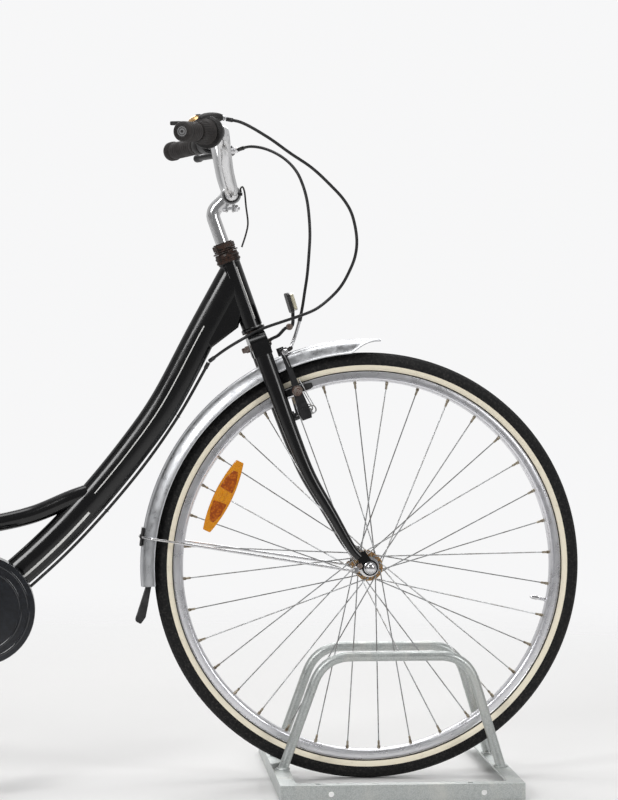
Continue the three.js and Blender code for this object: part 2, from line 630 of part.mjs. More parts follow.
const BAR_POINTS = BAR_PATH.getSpacedPoints(800);
const onBar = (left) => BAR_POINTS.reduce(
  (best, point) => (Math.abs(point.y - left) < Math.abs(best.y - left) ? point : best));
const GRIP_BORE = BAR_R + 0.5;

// A sleeve on the bar between two distances from the middle, with the given outer radii.
function sleeveOnBar(from, to, radiusFrom, radiusTo, capped = false, boreR = GRIP_BORE) {
  const a = onBar(from);
  const b = onBar(to);
  const axis = b.clone().sub(a).normalize();
  const end = capped ? b.clone().addScaledVector(axis, 6) : b;
  const body = rod(a, end, radiusFrom, 14, radiusTo);
  const bore = rod(a.clone().addScaledVector(axis, -2), b.clone().addScaledVector(axis, capped ? 1.1 : 2),
    boreR, 12);
  return { body, bore };
}

function grip(from, to) {
  const inner = sleeveOnBar(from, to, 13.6, 15.4, true);
  return cut(inner.body, inner.bore);
}

add('grip_left', grip(200, 289.5), BLACK_RUBBER);
add('grip_right', grip(-246, -289.5), BLACK_RUBBER);
const twist = sleeveOnBar(-208.6, -245.3, 21, 15.6);
add('shift_grip', cut(twist.body, twist.bore), BLACK_RUBBER);

// Gear shifter body: a wide round flange, and a hump on top that the cable leaves through an adjuster.
function shifterHousing() {
  const flange = sleeveOnBar(-193, -207, 26, 26);
  const body = sleeveOnBar(-172, -195, 17, 19);
  const centre = onBar(-196);
  const hump = rod(v(centre.x - 8, centre.y - 6, centre.z + 20),
    v(centre.x + 18, centre.y + 4, centre.z + 24), 9, 10);
  const adjuster = rod(v(centre.x + 16, centre.y + 3, centre.z + 23.5),
    v(centre.x + 27, centre.y + 7, centre.z + 21), 4, 8);
  return cut(join(flange.body, body.body, hump, adjuster), flange.bore, body.bore);
}

add('shifter_housing', shifterHousing(), BLACK_PLASTIC);

// Brake lever bracket: a band on the bar with an arm that carries the lever's pivot ahead of it.
const LEVER_PIVOT = v(-216, 166, 1038);

function leverBracket() {
  const band = sleeveOnBar(160, 178, 16, 16);
  const arm = box(LEVER_PIVOT.x - 34, LEVER_PIVOT.x + 7, 158, 174, LEVER_PIVOT.z - 6, LEVER_PIVOT.z + 8);
  const inlet = rod(v(LEVER_PIVOT.x, 159, LEVER_PIVOT.z), v(LEVER_PIVOT.x + 12, 140, LEVER_PIVOT.z + 1), 5,
    10);
  const barCutter = tube(BAR_PATH, BAR_R + 0.5, 32, 10);
  return cut(join(band.body, arm, inlet), band.bore, barCutter);
}

add('brake_lever_bracket', leverBracket(), BLACK_PLASTIC);

const LEVER_PATH = smooth([[-215, 175, 1037], [-215, 200, 1036], [-232, 240, 1036], [-252, 275, 1034],
  [-266, 296, 1032]]);
add('brake_lever', sweep(LEVER_PATH, roundShape(7, 4.5, 8), 8), BLACK_STEEL);

// ---------------------------------------------------------------- bell
const BELL = onBar(189).add(v(-2, 0, 0));

function bell() {
  const band = sleeveOnBar(181, 197, 15, 15, false, 12.4);
  const base = rod(v(BELL.x, BELL.y, BELL.z + 10), v(BELL.x, BELL.y, BELL.z + 34), 9, 12);
  const domeZ = BELL.z + 33;
  const dome = turned([[0, 0], [21, 0], [19, 9], [10, 17], [0, 19]], 16, false);
  dome.rotateX(Math.PI / 2).translate(BELL.x, BELL.y, domeZ);
  return cut(join(band.body, base, dome), band.bore);
}

add('bell', bell(), BRASS);
add('bell_striker', box(BELL.x - 47, BELL.x - 26, BELL.y - 6, BELL.y + 6, BELL.z + 34, BELL.z + 41),
  BLACK_PLASTIC);

// ---------------------------------------------------------------- cables
const CABLE_R = 2.5;
const SHIFT_ROUTE = [
  [-240.4, -188.6, 1068.7], [-217, -183, 1064], [-174, -166, 1042], [-137, -147, 1018],
  [-101, -126, 996],
  [-70, -106, 970], [-46, -90, 946], [-32, -78, 923], [-23, -64, 883], [-25, -57, 857], [-33, -50, 834],
  [-47, -44, 808], [-64, -38, 789], [-87, -34, 771], [-113, -31, 760], [-143, -30, 750], [-174, -29, 739],
  [-205, -29, 723], [-234, -17, 705], [-259, -4, 686],
];
add('shift_cable', tube(smooth(SHIFT_ROUTE), CABLE_R, 44, 8), BLACK_PLASTIC);

const SHIFT_ROUTE_LOWER = [
  [-260.7, -3.6, 683.4], [-272, 0, 662], [-310, 0, 596], [-362, 0, 521], [-427, 0, 442], [-492, 0, 373],
  [-566, -2, 306], [-608, -8, 270], [-640, -14, 256], [-680, -22, 264], [-740, -29, 281], [-860, -36, 300],
  [-960, -44, 315], [-1020, -52, 325], [-1056, -61, 327], [-1076, -68.5, 335], [-1088, -70, 342],
];
add('shift_cable_lower', tube(smooth(SHIFT_ROUTE_LOWER), CABLE_R, 74, 8), BLACK_PLASTIC);

const BRAKE_ROUTE = [
  [-201, 138, 1040], [-186, 117, 1043], [-166, 102, 1040], [-145, 88, 1031], [-126, 74, 1017],
  [-111, 60, 998], [-102, 48, 976], [-96, 38, 951], [-93, 31, 923], [-92, 26, 893], [-94, 22, 860],
  [-97, 20, 827], [-101, 20, 800], [-105, 22, 773], [-109, 26, 752],
];
add('brake_cable', tube(smooth(BRAKE_ROUTE), CABLE_R, 36, 8), BLACK_PLASTIC);

const tie = sleeveOnBar(-23, -27.5, 14.5, 14.5, false, 12.6);
add('cable_tie', cut(tie.body, tie.bore), BLACK_PLASTIC);

// ---------------------------------------------------------------- mudguards
// A thin curved band round a wheel centre, swept from one angle to another, in degrees.
const GUARD_R = 362;
const GUARD_SECTION = (() => {
  const outer = [[-27, -10], [-22, 3], [-9, 9.6], [9, 9.6], [22, 3], [27, -10]];
  const inner = [[25.2, -10], [20.8, 1.8], [8.6, 8], [-8.6, 8], [-20.8, 1.8], [-25.2, -10]];
  return polygon([...outer, ...inner]);
})();

class RimArc extends THREE.Curve {
  constructor(x, radius, from, to) {
    super();
    Object.assign(this, { x, radius, from: rad(from), to: rad(to) });
  }

  getPoint(t, target = new THREE.Vector3()) {
    const angle = this.from + (this.to - this.from) * t;
    return target.set(this.x + this.radius * Math.cos(angle), 0, WHEEL_R + this.radius * Math.sin(angle));
  }
}

const guard = (x, from, to, steps) => sweep(new RimArc(x, GUARD_R, from, to), GUARD_SECTION, steps);
add('front_mudguard', guard(0, 88, 185, 14), SILVER);
add('rear_mudguard', guard(-WHEELBASE, 22, 195, 20), SILVER);

// Wire stay: from one fork end back round the outside of the mudguard to the other.
function guardStay(x, angleDeg, halfWidth, endAngle, endR) {
  const out = v(Math.cos(rad(angleDeg)), 0, Math.sin(rad(angleDeg)));
  const far = v(x, 0, WHEEL_R).addScaledVector(out, GUARD_R + 14.5);
  const near = v(x + endR * Math.cos(rad(endAngle)), 0, WHEEL_R + endR * Math.sin(rad(endAngle)));
  const half = [[14, 0], [31, -4], [32, -18]].map(([y, r]) => [far.x + out.x * r, y, far.z + out.z * r]);
  half.push([near.x, halfWidth, near.z]);
  const wire = tube(bentPath([...half.slice().reverse().map(mirrored), ...half], 4), 2.2, 26, 6);
  const clip = new THREE.BoxGeometry(5, 24, 38).rotateY(-rad(angleDeg)).translate(far.x, 0, far.z);
  return join(wire, clip);
}

add('front_mudguard_stay', guardStay(0, 172.4, 60.5, 186, 24), CHROME);
add('rear_mudguard_stay', guardStay(-WHEELBASE, 150, 71.5, 64, 69), CHROME);

// Mudflap: a rubber tongue that carries on from the mudguard's rear end, towards the floor.
function mudflap() {
  const profile = polygon([[-353.5, 338], [-362, 334], [-362, 318], [-373, 288], [-380, 262], [-372, 258],
    [-364, 268], [-357, 305]]);
  return plate(profile, -15, 15);
}

add('front_mudflap', mudflap(), BLACK_RUBBER);

// ---------------------------------------------------------------- front reflector
function frontReflector() {
  const bracket = sweep(smooth([onAxis(-30, 31, 0).toArray(), onAxis(-28, 48, 0).toArray(), [-118, 0, 745],
    [-124, 0, 766]]), roundShape(8, 2.5, 8), 8);
  const body = new THREE.BoxGeometry(9, 62, 34).rotateY(rad(6)).translate(-125, 0, 782);
  return join(bracket, body);
}

add('front_reflector', frontReflector(), BLACK_PLASTIC);

// ---------------------------------------------------------------- kickstand
const KICK_PIVOT = v(-712, 46, 262);

function kickstand() {
  const leg = tube(bentPath([[KICK_PIVOT.x, 46, 262], [-740, 56, 259], [-930, 82, 250]], 18), 7, 8, 8);
  const foot = rod(v(-924, 81.2, 250.3), v(-948, 84.4, 249), 9.5, 8);
  return join(leg, rod(v(KICK_PIVOT.x, 38, 262), v(KICK_PIVOT.x, 54, 262), 11, 12), foot);
}

add('kickstand', kickstand(), BLACK_STEEL);

// ---------------------------------------------------------------- stand
const [X0, X1] = STAND_X;
const [Y0, Y1] = STAND_Y;

// Base: one length of steel angle across the front, and one back from each end of it.
function standBase() {
  const angle = (x0, x1, y0, y1, wallX, wallY) => join(
    box(x0, x1, y0, y1, ANGLE_LEG - ANGLE_T, ANGLE_LEG),
    wallX === null ? box(x0, x1, wallY, wallY + ANGLE_T, 0, ANGLE_LEG)
      : box(wallX, wallX + ANGLE_T, y0, y1, 0, ANGLE_LEG),
  );
  const across = angle(X0, X1, Y0, Y0 + ANGLE_LEG, null, Y0);
  const left = angle(X0, X0 + ANGLE_LEG, Y0, Y1, X0, null);
  const right = angle(X1 - ANGLE_LEG, X1, Y0, Y1, X1 - ANGLE_T, null);
  const holes = [X0 + 80, X1 - 65].flatMap((x) => [
    rod(v(x, Y0 - 5, 12), v(x, Y0 + 10, 12), 4.5, 12),
    rod(v(x - 20, Y0 + 15, 15), v(x - 20, Y0 + 15, 40), 4.5, 12),
  ]);
  return cut(join(across, left, right), ...holes);
}

const hoopPath = (y) => bentPath([[X0 + 16, y, ANGLE_LEG + GAP], [-78, y, HOOP_TOP], [157, y, HOOP_TOP],
  [X1 - 14, y, ANGLE_LEG + GAP]], 46);

function hoop(y) {
  const floorCutter = box(X0 - 50, X1 + 50, y - 40, y + 40, -40, ANGLE_LEG + GAP);
  const path = hoopPath(y);
  return cut(tube(path, HOOP_R, 22, 8), floorCutter);
}

add('stand_base', standBase(), GALVANISED);
add('stand_hoop_right', hoop(-HOOP_Y), GALVANISED);
add('stand_hoop_left', hoop(HOOP_Y), GALVANISED);

// ---------------------------------------------------------------- origin
bicycle.updateMatrixWorld(true);
const bounds = new THREE.Box3().setFromObject(bicycle);
const centre = bounds.getCenter(new THREE.Vector3());
bicycle.position.set(-centre.x, -centre.y, -bounds.min.z);
bicycle.updateMatrixWorld(true);

export default bicycle;
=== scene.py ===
"""Looks of a city bicycle that stands in a floor stand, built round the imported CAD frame.

Places are in metres in the row frame: +X ahead, +Y to the rider's left, +Z up. Radii, outlines and
profiles are in millimetres. A shape is a pair (points, faces); piece() turns shapes into one object.
"""
import json
import math
import random

import bmesh
import bpy
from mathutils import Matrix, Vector


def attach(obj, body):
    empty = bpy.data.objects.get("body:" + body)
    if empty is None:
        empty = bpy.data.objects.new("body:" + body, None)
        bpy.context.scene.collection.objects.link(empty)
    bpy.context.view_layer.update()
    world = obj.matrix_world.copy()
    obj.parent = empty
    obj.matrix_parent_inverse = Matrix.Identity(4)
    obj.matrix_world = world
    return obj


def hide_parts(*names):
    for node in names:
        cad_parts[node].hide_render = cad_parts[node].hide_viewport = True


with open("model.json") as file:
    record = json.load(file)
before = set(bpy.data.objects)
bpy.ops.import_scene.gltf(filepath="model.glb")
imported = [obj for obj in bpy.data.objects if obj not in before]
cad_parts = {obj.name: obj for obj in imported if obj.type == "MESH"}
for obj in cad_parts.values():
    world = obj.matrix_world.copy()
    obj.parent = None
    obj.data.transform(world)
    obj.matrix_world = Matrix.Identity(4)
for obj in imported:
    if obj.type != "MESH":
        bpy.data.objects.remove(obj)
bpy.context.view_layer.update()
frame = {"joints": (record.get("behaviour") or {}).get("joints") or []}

# ------------------------------------------------------------------ places taken from the frame
MM = 0.001
LEFT = Vector((0, 1, 0))
UP = Vector((0, 0, 1))
AHEAD = Vector((1, 0, 0))
SIDES = (("left", 1), ("right", -1))
JOINTS = {joint["name"]: joint for joint in frame["joints"]}


def pivot(name):
    return Vector(JOINTS[name]["pos_m"])


FRONT_AXLE = pivot("front_wheel_spin")
REAR_AXLE = pivot("rear_wheel_spin")
BRACKET = pivot("crank_spin")
HEAD_FOOT = pivot("steering_turn")
AXIS_UP = Vector(JOINTS["steering_turn"]["axis"]).normalized()
AXIS_AHEAD = LEFT.cross(AXIS_UP)
SEAT_UP = Vector(JOINTS["saddle_height"]["axis"]).normalized()
SEAT_AHEAD = LEFT.cross(SEAT_UP)


def at(x, y, z):
    """A place in millimetres from the front wheel's contact with the floor."""
    return Vector((FRONT_AXLE.x + x * MM, y * MM, z * MM))


def on_axis(height, ahead=0, left=0):
    """A place by its height up the steering axis, its distance ahead of it and to the left."""
    return HEAD_FOOT + (AXIS_UP * height + AXIS_AHEAD * ahead + LEFT * left) * MM


def on_seat(height, ahead=0):
    """A place by its height up the seat tube and its distance ahead of it."""
    return BRACKET + (SEAT_UP * height + SEAT_AHEAD * ahead) * MM


def polar(centre, radius, degrees, left=0):
    """A place beside a wheel centre: degrees are counted from straight ahead, upwards."""
    angle = math.radians(degrees)
    return centre + Vector((radius * math.cos(angle), left, radius * math.sin(angle))) * MM


# ------------------------------------------------------------------ camera, light and floor
scene = bpy.context.scene
scene.view_settings.view_transform = "Standard"


CAMERA_PLACE = (0.0783, -4.9037, 0.7594)
CAMERA_DIP = 1.6                 # degrees below level
CAMERA_TURN = -4.51              # degrees from straight across the bicycle
FLOOR_RADIUS = 16
FLOOR_DROP = 0.0004              # keeps the floor clear of what stands on it


def make_camera():
    data = bpy.data.cameras.new("camera")
    data.lens = 135
    data.sensor_width = 36
    camera = bpy.data.objects.new("camera", data)
    camera.location = CAMERA_PLACE
    camera.rotation_euler = (math.radians(90 - CAMERA_DIP), 0, math.radians(CAMERA_TURN))
    scene.collection.objects.link(camera)
    scene.camera = camera


def area_light(name, place, target, width, height, watts):
    data = bpy.data.lights.new(name, "AREA")
    data.shape = "RECTANGLE"
    data.size, data.size_y = width, height
    data.energy = watts
    lamp = bpy.data.objects.new(name, data)
    lamp.location = place
    lamp.rotation_euler = (Vector(target) - Vector(place)).to_track_quat("-Z", "Y").to_euler()
    scene.collection.objects.link(lamp)


def make_world():
    """A white surround to the camera, and a darker one on the camera's side to the bicycle's gloss."""
    world = bpy.data.worlds.new("studio")
    scene.world = world
    world.use_nodes = True
    nodes, links = world.node_tree.nodes, world.node_tree.links
    nodes.clear()
    output = nodes.new("ShaderNodeOutputWorld")
    seen = nodes.new("ShaderNodeBackground")
    seen.inputs["Color"].default_value = (0.93, 0.93, 0.935, 1)
    cast = nodes.new("ShaderNodeBackground")
    where = nodes.new("ShaderNodeTexCoord")
    split = nodes.new("ShaderNodeSeparateXYZ")
    ramp = nodes.new("ShaderNodeMapRange")
    for name, value in (("From Min", -0.5), ("From Max", 0.5), ("To Min", 0.26), ("To Max", 0.72)):
        ramp.inputs[name].default_value = value
    path = nodes.new("ShaderNodeLightPath")
    mix = nodes.new("ShaderNodeMixShader")
    links.new(where.outputs["Generated"], split.inputs[0])
    links.new(split.outputs["Y"], ramp.inputs["Value"])
    links.new(ramp.outputs["Result"], cast.inputs["Strength"])
    links.new(path.outputs["Is Camera Ray"], mix.inputs["Fac"])
    links.new(cast.outputs[0], mix.inputs[1])
    links.new(seen.outputs[0], mix.inputs[2])
    links.new(mix.outputs[0], output.inputs["Surface"])


def make_floor():
    """A pale floor that fades into the white surround."""
    bpy.ops.mesh.primitive_circle_add(vertices=96, radius=FLOOR_RADIUS, fill_type="NGON",
                                      location=(0, 0, -FLOOR_DROP))
    floor = bpy.context.object
    floor.name = "floor"
    look = bpy.data.materials.new("floor")
    look.use_nodes = True
    nodes, links = look.node_tree.nodes, look.node_tree.links
    paint = nodes["Principled BSDF"]
    paint.inputs["Base Color"].default_value = (0.86, 0.855, 0.85, 1)
    paint.inputs["Roughness"].default_value = 0.6
    where = nodes.new("ShaderNodeTexCoord")
    length = nodes.new("ShaderNodeVectorMath")
    length.operation = "LENGTH"
    fade = nodes.new("ShaderNodeMapRange")
    fade.interpolation_type = "SMOOTHSTEP"
    fade.inputs["From Min"].default_value = 0.9
    fade.inputs["From Max"].default_value = 3.4
    clear = nodes.new("ShaderNodeBsdfTransparent")
    mix = nodes.new("ShaderNodeMixShader")
    links.new(where.outputs["Object"], length.inputs[0])
    links.new(length.outputs["Value"], fade.inputs["Value"])
    links.new(fade.outputs["Result"], mix.inputs["Fac"])
    links.new(paint.outputs[0], mix.inputs[1])
    links.new(clear.outputs[0], mix.inputs[2])
    links.new(mix.outputs[0], nodes["Material Output"].inputs["Surface"])
    floor.data.materials.append(look)


make_camera()
make_world()
make_floor()
area_light("key", (-2.6, -3.4, 3.2), (0.1, 0, 0.6), 1.6, 1.6, 82)
area_light("fill", (3.0, -3.0, 2.2), (0.2, 0, 0.6), 1.2, 2.0, 38)
area_light("top", (0.2, 0.4, 4.2), (0.2, 0, 0), 3.0, 2.0, 58)
area_light("back", (0.6, 3.6, 2.6), (0.2, 0, 0.5), 2.4, 1.6, 40)


# ------------------------------------------------------------------ materials
def principled(name, colour, rough, metal=0.0, **extra):
    """A material and its node tree; extra sets other sockets of the shader by name."""
    look = bpy.data.materials.new(name)
    look.use_nodes = True
    shader = look.node_tree.nodes["Principled BSDF"]
    shader.inputs["Base Color"].default_value = (*colour, 1)
    shader.inputs["Roughness"].default_value = rough
    shader.inputs["Metallic"].default_value = metal
    for socket, value in extra.items():
        shader.inputs[socket.replace("_", " ")].default_value = value
    return look, look.node_tree, shader


def noise(tree, scale, detail, rough=0.55, stretch=None):
    """A noise texture on object coordinates; its scale is in features a metre."""
    where = tree.nodes.new("ShaderNodeTexCoord")
    texture = tree.nodes.new("ShaderNodeTexNoise")
    texture.inputs["Scale"].default_value = scale
    texture.inputs["Detail"].default_value = detail
    texture.inputs["Roughness"].default_value = rough
    if stretch:
        turn = tree.nodes.new("ShaderNodeMapping")
        turn.inputs["Scale"].default_value = stretch
        tree.links.new(where.outputs["Object"], turn.inputs["Vector"])
        tree.links.new(turn.outputs["Vector"], texture.inputs["Vector"])
    else:
        tree.links.new(where.outputs["Object"], texture.inputs["Vector"])
    return texture.outputs["Fac"]


def cells(tree, scale, feature="F1"):
    where = tree.nodes.new("ShaderNodeTexCoord")
    texture = tree.nodes.new("ShaderNodeTexVoronoi")
    texture.feature = feature
    texture.inputs["Scale"].default_value = scale
    tree.links.new(where.outputs["Object"], texture.inputs["Vector"])
    return texture.outputs["Distance"]


def ramp(tree, value, low, high, start, end):
    """Maps a value in low..high to start..end, which are both numbers or both colours."""
    if isinstance(start, tuple):
        node = tree.nodes.new("ShaderNodeValToRGB")
        node.color_ramp.elements[0].position = low
        node.color_ramp.elements[1].position = high
        node.color_ramp.elements[0].color = (*start, 1)
        node.color_ramp.elements[1].color = (*end, 1)
        tree.links.new(value, node.inputs["Fac"])
        return node.outputs["Color"]
    node = tree.nodes.new("ShaderNodeMapRange")
    for name, number in (("From Min", low), ("From Max", high), ("To Min", start), ("To Max", end)):
        node.inputs[name].default_value = number
    tree.links.new(value, node.inputs["Value"])
    return node.outputs["Result"]


MIX_A, MIX_B, MIX_RESULT = 6, 7, 2    # the colour sockets of a Mix node


def blended(tree, amount, first, colour):
    """Mixes a colour into a colour output by an amount."""
    node = tree.nodes.new("ShaderNodeMix")
    node.data_type = "RGBA"
    tree.links.new(amount, node.inputs["Factor"])
    tree.links.new(first, node.inputs[MIX_A])
    node.inputs[MIX_B].default_value = (*colour, 1)
    return node.outputs[MIX_RESULT]


def bump(tree, shader, height, strength, distance):
    node = tree.nodes.new("ShaderNodeBump")
    node.inputs["Strength"].default_value = strength
    node.inputs["Distance"].default_value = distance * MM
    tree.links.new(height, node.inputs["Height"])
    tree.links.new(node.outputs["Normal"], shader.inputs["Normal"])


def link(tree, output, shader, socket):
    tree.links.new(output, shader.inputs[socket])


def black_paint():
    look, tree, shader = principled("black_paint", (0.006, 0.006, 0.007), 0.16, Coat_Weight=0.25,
                                    Coat_Roughness=0.06, Specular_IOR_Level=0.42)
    dust = ramp(tree, noise(tree, 900, 6, 0.7), 0.64, 0.82, (0.003, 0.003, 0.0035), (0.018, 0.018, 0.019))
    link(tree, dust, shader, "Base Color")
    link(tree, ramp(tree, noise(tree, 26, 5), 0.35, 0.7, 0.12, 0.27), shader, "Roughness")
    bump(tree, shader, noise(tree, 260, 3), 0.12, 0.08)
    return look


def worn_metal(name, colour, dark, rough, grime, scale, streak=None):
    """Plated or polished metal with grime in patches and fine scratches."""
    look, tree, shader = principled(name, colour, rough, 1.0)
    patches = noise(tree, scale, 7, 0.68, streak)
    link(tree, ramp(tree, patches, grime - 0.12, grime + 0.14, colour, dark), shader, "Base Color")
    link(tree, ramp(tree, noise(tree, scale * 5, 6, 0.7, streak), 0.3, 0.8, rough * 0.6, rough * 1.9),
         shader, "Roughness")
    bump(tree, shader, noise(tree, scale * 22, 3), 0.1, 0.05)
    return look


def rim_metal():
    """Plated steel with turning marks that run round the wheel; the object's origin is the axle."""
    look, tree, shader = principled("rim_metal", (0.62, 0.62, 0.64), 0.3, 1.0)
    where = tree.nodes.new("ShaderNodeTexCoord")
    rings = tree.nodes.new("ShaderNodeTexWave")
    rings.wave_type, rings.rings_direction = "RINGS", "Y"
    rings.inputs["Scale"].default_value = 260
    rings.inputs["Distortion"].default_value = 0.6
    tree.links.new(where.outputs["Object"], rings.inputs["Vector"])
    dirt = ramp(tree, noise(tree, 140, 8, 0.7), 0.66, 0.9, (0.82, 0.82, 0.85), (0.5, 0.47, 0.45))
    link(tree, dirt, shader, "Base Color")
    link(tree, ramp(tree, noise(tree, 60, 5), 0.3, 0.75, 0.24, 0.36), shader, "Roughness")
    bump(tree, shader, rings.outputs["Fac"], 0.08, 0.05)
    return look


def tread_rubber():
    look, tree, shader = principled("tread_rubber", (0.012, 0.012, 0.012), 0.82, Specular_IOR_Level=0.3)
    scuffs = ramp(tree, noise(tree, 240, 8, 0.75), 0.5, 0.8, (0.009, 0.009, 0.0095), (0.07, 0.066, 0.06))
    link(tree, scuffs, shader, "Base Color")
    bump(tree, shader, noise(tree, 1400, 4), 0.5, 0.3)
    return look


def wall_rubber():
    """Cream side wall with a dark bead line and scuffed dirt; the object's origin is the axle."""
    look, tree, shader = principled("wall_rubber", (0.92, 0.84, 0.68), 0.6)
    stains = ramp(tree, noise(tree, 70, 9, 0.72), 0.58, 0.86, (1.0, 0.92, 0.74), (0.56, 0.47, 0.34))
    specks = ramp(tree, noise(tree, 620, 5, 0.6), 0.68, 0.76, (1.0, 1.0, 1.0), (0.3, 0.27, 0.22))
    mix = tree.nodes.new("ShaderNodeMix")
    mix.data_type, mix.blend_type = "RGBA", "MULTIPLY"
    mix.inputs["Factor"].default_value = 1.0
    tree.links.new(stains, mix.inputs[MIX_A])
    tree.links.new(specks, mix.inputs[MIX_B])
    link(tree, mix.outputs[MIX_RESULT], shader, "Base Color")
    bump(tree, shader, noise(tree, 500, 4), 0.25, 0.2)
    return look


def galvanised():
    look, tree, shader = principled("galvanised", (0.55, 0.57, 0.56), 0.42, 0.9)
    spangle = ramp(tree, cells(tree, 520), 0.1, 0.75, (0.66, 0.68, 0.67), (0.5, 0.53, 0.52))
    streaks = ramp(tree, noise(tree, 18, 9, 0.75, (1, 1, 0.35)), 0.5, 0.72, 0.0, 0.85)
    link(tree, blended(tree, streaks, spangle, (0.7, 0.7, 0.66)), shader, "Base Color")
    link(tree, ramp(tree, noise(tree, 55, 7, 0.7), 0.3, 0.7, 0.26, 0.6), shader, "Roughness")
    link(tree, ramp(tree, noise(tree, 35, 7, 0.7), 0.6, 0.75, 0.95, 0.45), shader, "Metallic")
    bump(tree, shader, noise(tree, 420, 5, 0.6), 0.3, 0.25)
    return look


def rust(name, base, stain, metal, rough, balance=0.5):
    """Old plated steel that has browned in patches."""
    look, tree, shader = principled(name, base, rough, metal)
    patches = noise(tree, 190, 8, 0.72)
    link(tree, ramp(tree, patches, balance - 0.1, balance + 0.12, base, stain), shader, "Base Color")
    link(tree, ramp(tree, patches, 0.35, 0.7, 0.25, 0.8), shader, "Roughness")
    bump(tree, shader, noise(tree, 1100, 5), 0.45, 0.25)
    return look


def moulded(name, colour, rough, grain=1500, depth=0.12, light=None, **extra):
    """Moulded plastic or rubber with a fine grain and slightly faded patches."""
    look, tree, shader = principled(name, colour, rough, **extra)
    faded = light or tuple(c * 1.9 + 0.006 for c in colour)
    link(tree, ramp(tree, noise(tree, 120, 6, 0.65), 0.42, 0.75, colour, faded), shader, "Base Color")
    link(tree, ramp(tree, noise(tree, 60, 5), 0.35, 0.7, rough * 0.8, min(1.0, rough * 1.25)), shader,
         "Roughness")
    bump(tree, shader, noise(tree, grain, 3), 0.4, depth)
    return look


def lens(name, colour, deep, scale, through=0.15):
    """Moulded reflector plastic with a pattern of prism cells."""
    look, tree, shader = principled(name, colour, 0.14, Coat_Weight=0.6, Coat_Roughness=0.05,
                                    Transmission_Weight=through)
    prisms = cells(tree, scale)
    link(tree, ramp(tree, prisms, 0.1, 0.7, colour, deep), shader, "Base Color")
    bump(tree, shader, prisms, 0.5, 0.4)
    return look


def vinyl():
    look, tree, shader = principled("saddle_vinyl", (0.016, 0.016, 0.017), 0.48)
    grain = cells(tree, 900, "SMOOTH_F1")
    link(tree, ramp(tree, noise(tree, 45, 6), 0.45, 0.75, (0.013, 0.013, 0.014), (0.045, 0.044, 0.043)),
         shader, "Base Color")
    link(tree, ramp(tree, noise(tree, 30, 4), 0.35, 0.7, 0.38, 0.6), shader, "Roughness")
    bump(tree, shader, grain, 0.55, 0.35)
    return look


BLACK_PAINT = black_paint()
CHROME = worn_metal("chrome", (0.8, 0.8, 0.82), (0.5, 0.46, 0.41), 0.12, 0.66, 45)
POLISHED = worn_metal("polished_alloy", (0.78, 0.78, 0.79), (0.4, 0.36, 0.31), 0.18, 0.66, 50, (1, 1, 0.25))
SPOKE_STEEL = worn_metal("spoke_steel", (0.42, 0.43, 0.44), (0.22, 0.2, 0.18), 0.3, 0.55, 90)
GUARD_METAL = worn_metal("guard_metal", (0.66, 0.67, 0.69), (0.56, 0.57, 0.58), 0.34, 0.66, 12)
RIM_METAL = rim_metal()
NIPPLE_BRASS = rust("nipple_brass", (0.5, 0.45, 0.36), (0.16, 0.12, 0.08), 0.9, 0.4)
GOLD_RUST = rust("gold_rust", (0.62, 0.42, 0.2), (0.28, 0.13, 0.05), 0.75, 0.45)
BROWN_RUST = rust("brown_rust", (0.022, 0.017, 0.014), (0.075, 0.034, 0.021), 0.45, 0.42, 0.54)
BOLT_RUST = rust("bolt_rust", (0.34, 0.3, 0.27), (0.12, 0.055, 0.038), 0.6, 0.45, 0.5)
BELL_BRASS = worn_metal("bell_brass", (0.72, 0.45, 0.2), (0.35, 0.2, 0.1), 0.22, 0.6, 80)
TREAD = tread_rubber()
WALL = wall_rubber()
GALVANISED = galvanised()
BLACK_STEEL = moulded("black_steel", (0.012, 0.012, 0.013), 0.36, 700, 0.1, Specular_IOR_Level=0.5)
BLACK_PLASTIC = moulded("black_plastic", (0.014, 0.013, 0.013), 0.5)
GRIP_RUBBER = moulded("grip_rubber", (0.018, 0.015, 0.0145), 0.72, 900, 0.3, (0.05, 0.044, 0.042))
FLAP_RUBBER = moulded("flap_rubber", (0.012, 0.012, 0.013), 0.7, 500, 0.4, (0.05, 0.05, 0.052))
SHEATH = moulded("cable_sheath", (0.009, 0.009, 0.01), 0.34, 600, 0.06)
CASE_GLOSS = moulded("case_gloss", (0.007, 0.008, 0.011), 0.17, 300, 0.06, (0.014, 0.017, 0.024),
                     Coat_Weight=0.5, Coat_Roughness=0.08)
PAD_RUBBER = moulded("pad_rubber", (0.02, 0.02, 0.021), 0.8, 500, 0.3)
WHITE_PAINT = moulded("white_paint", (0.82, 0.82, 0.8), 0.35, 400, 0.04, (0.74, 0.73, 0.7))
AMBER = lens("amber_lens", (1.0, 0.43, 0.01), (0.85, 0.3, 0.005), 700)
AMBER_DEEP = lens("amber_prisms", (0.66, 0.17, 0.004), (0.38, 0.07, 0.002), 260, 0.05)
CREAM_LENS = lens("cream_lens", (0.85, 0.8, 0.6), (0.6, 0.56, 0.42), 420)
VINYL = vinyl()


# ------------------------------------------------------------------ shapes
SMOOTH_ANGLE = 38                # edges sharper than this, in degrees, stay sharp
BEVEL_ANGLE = 40


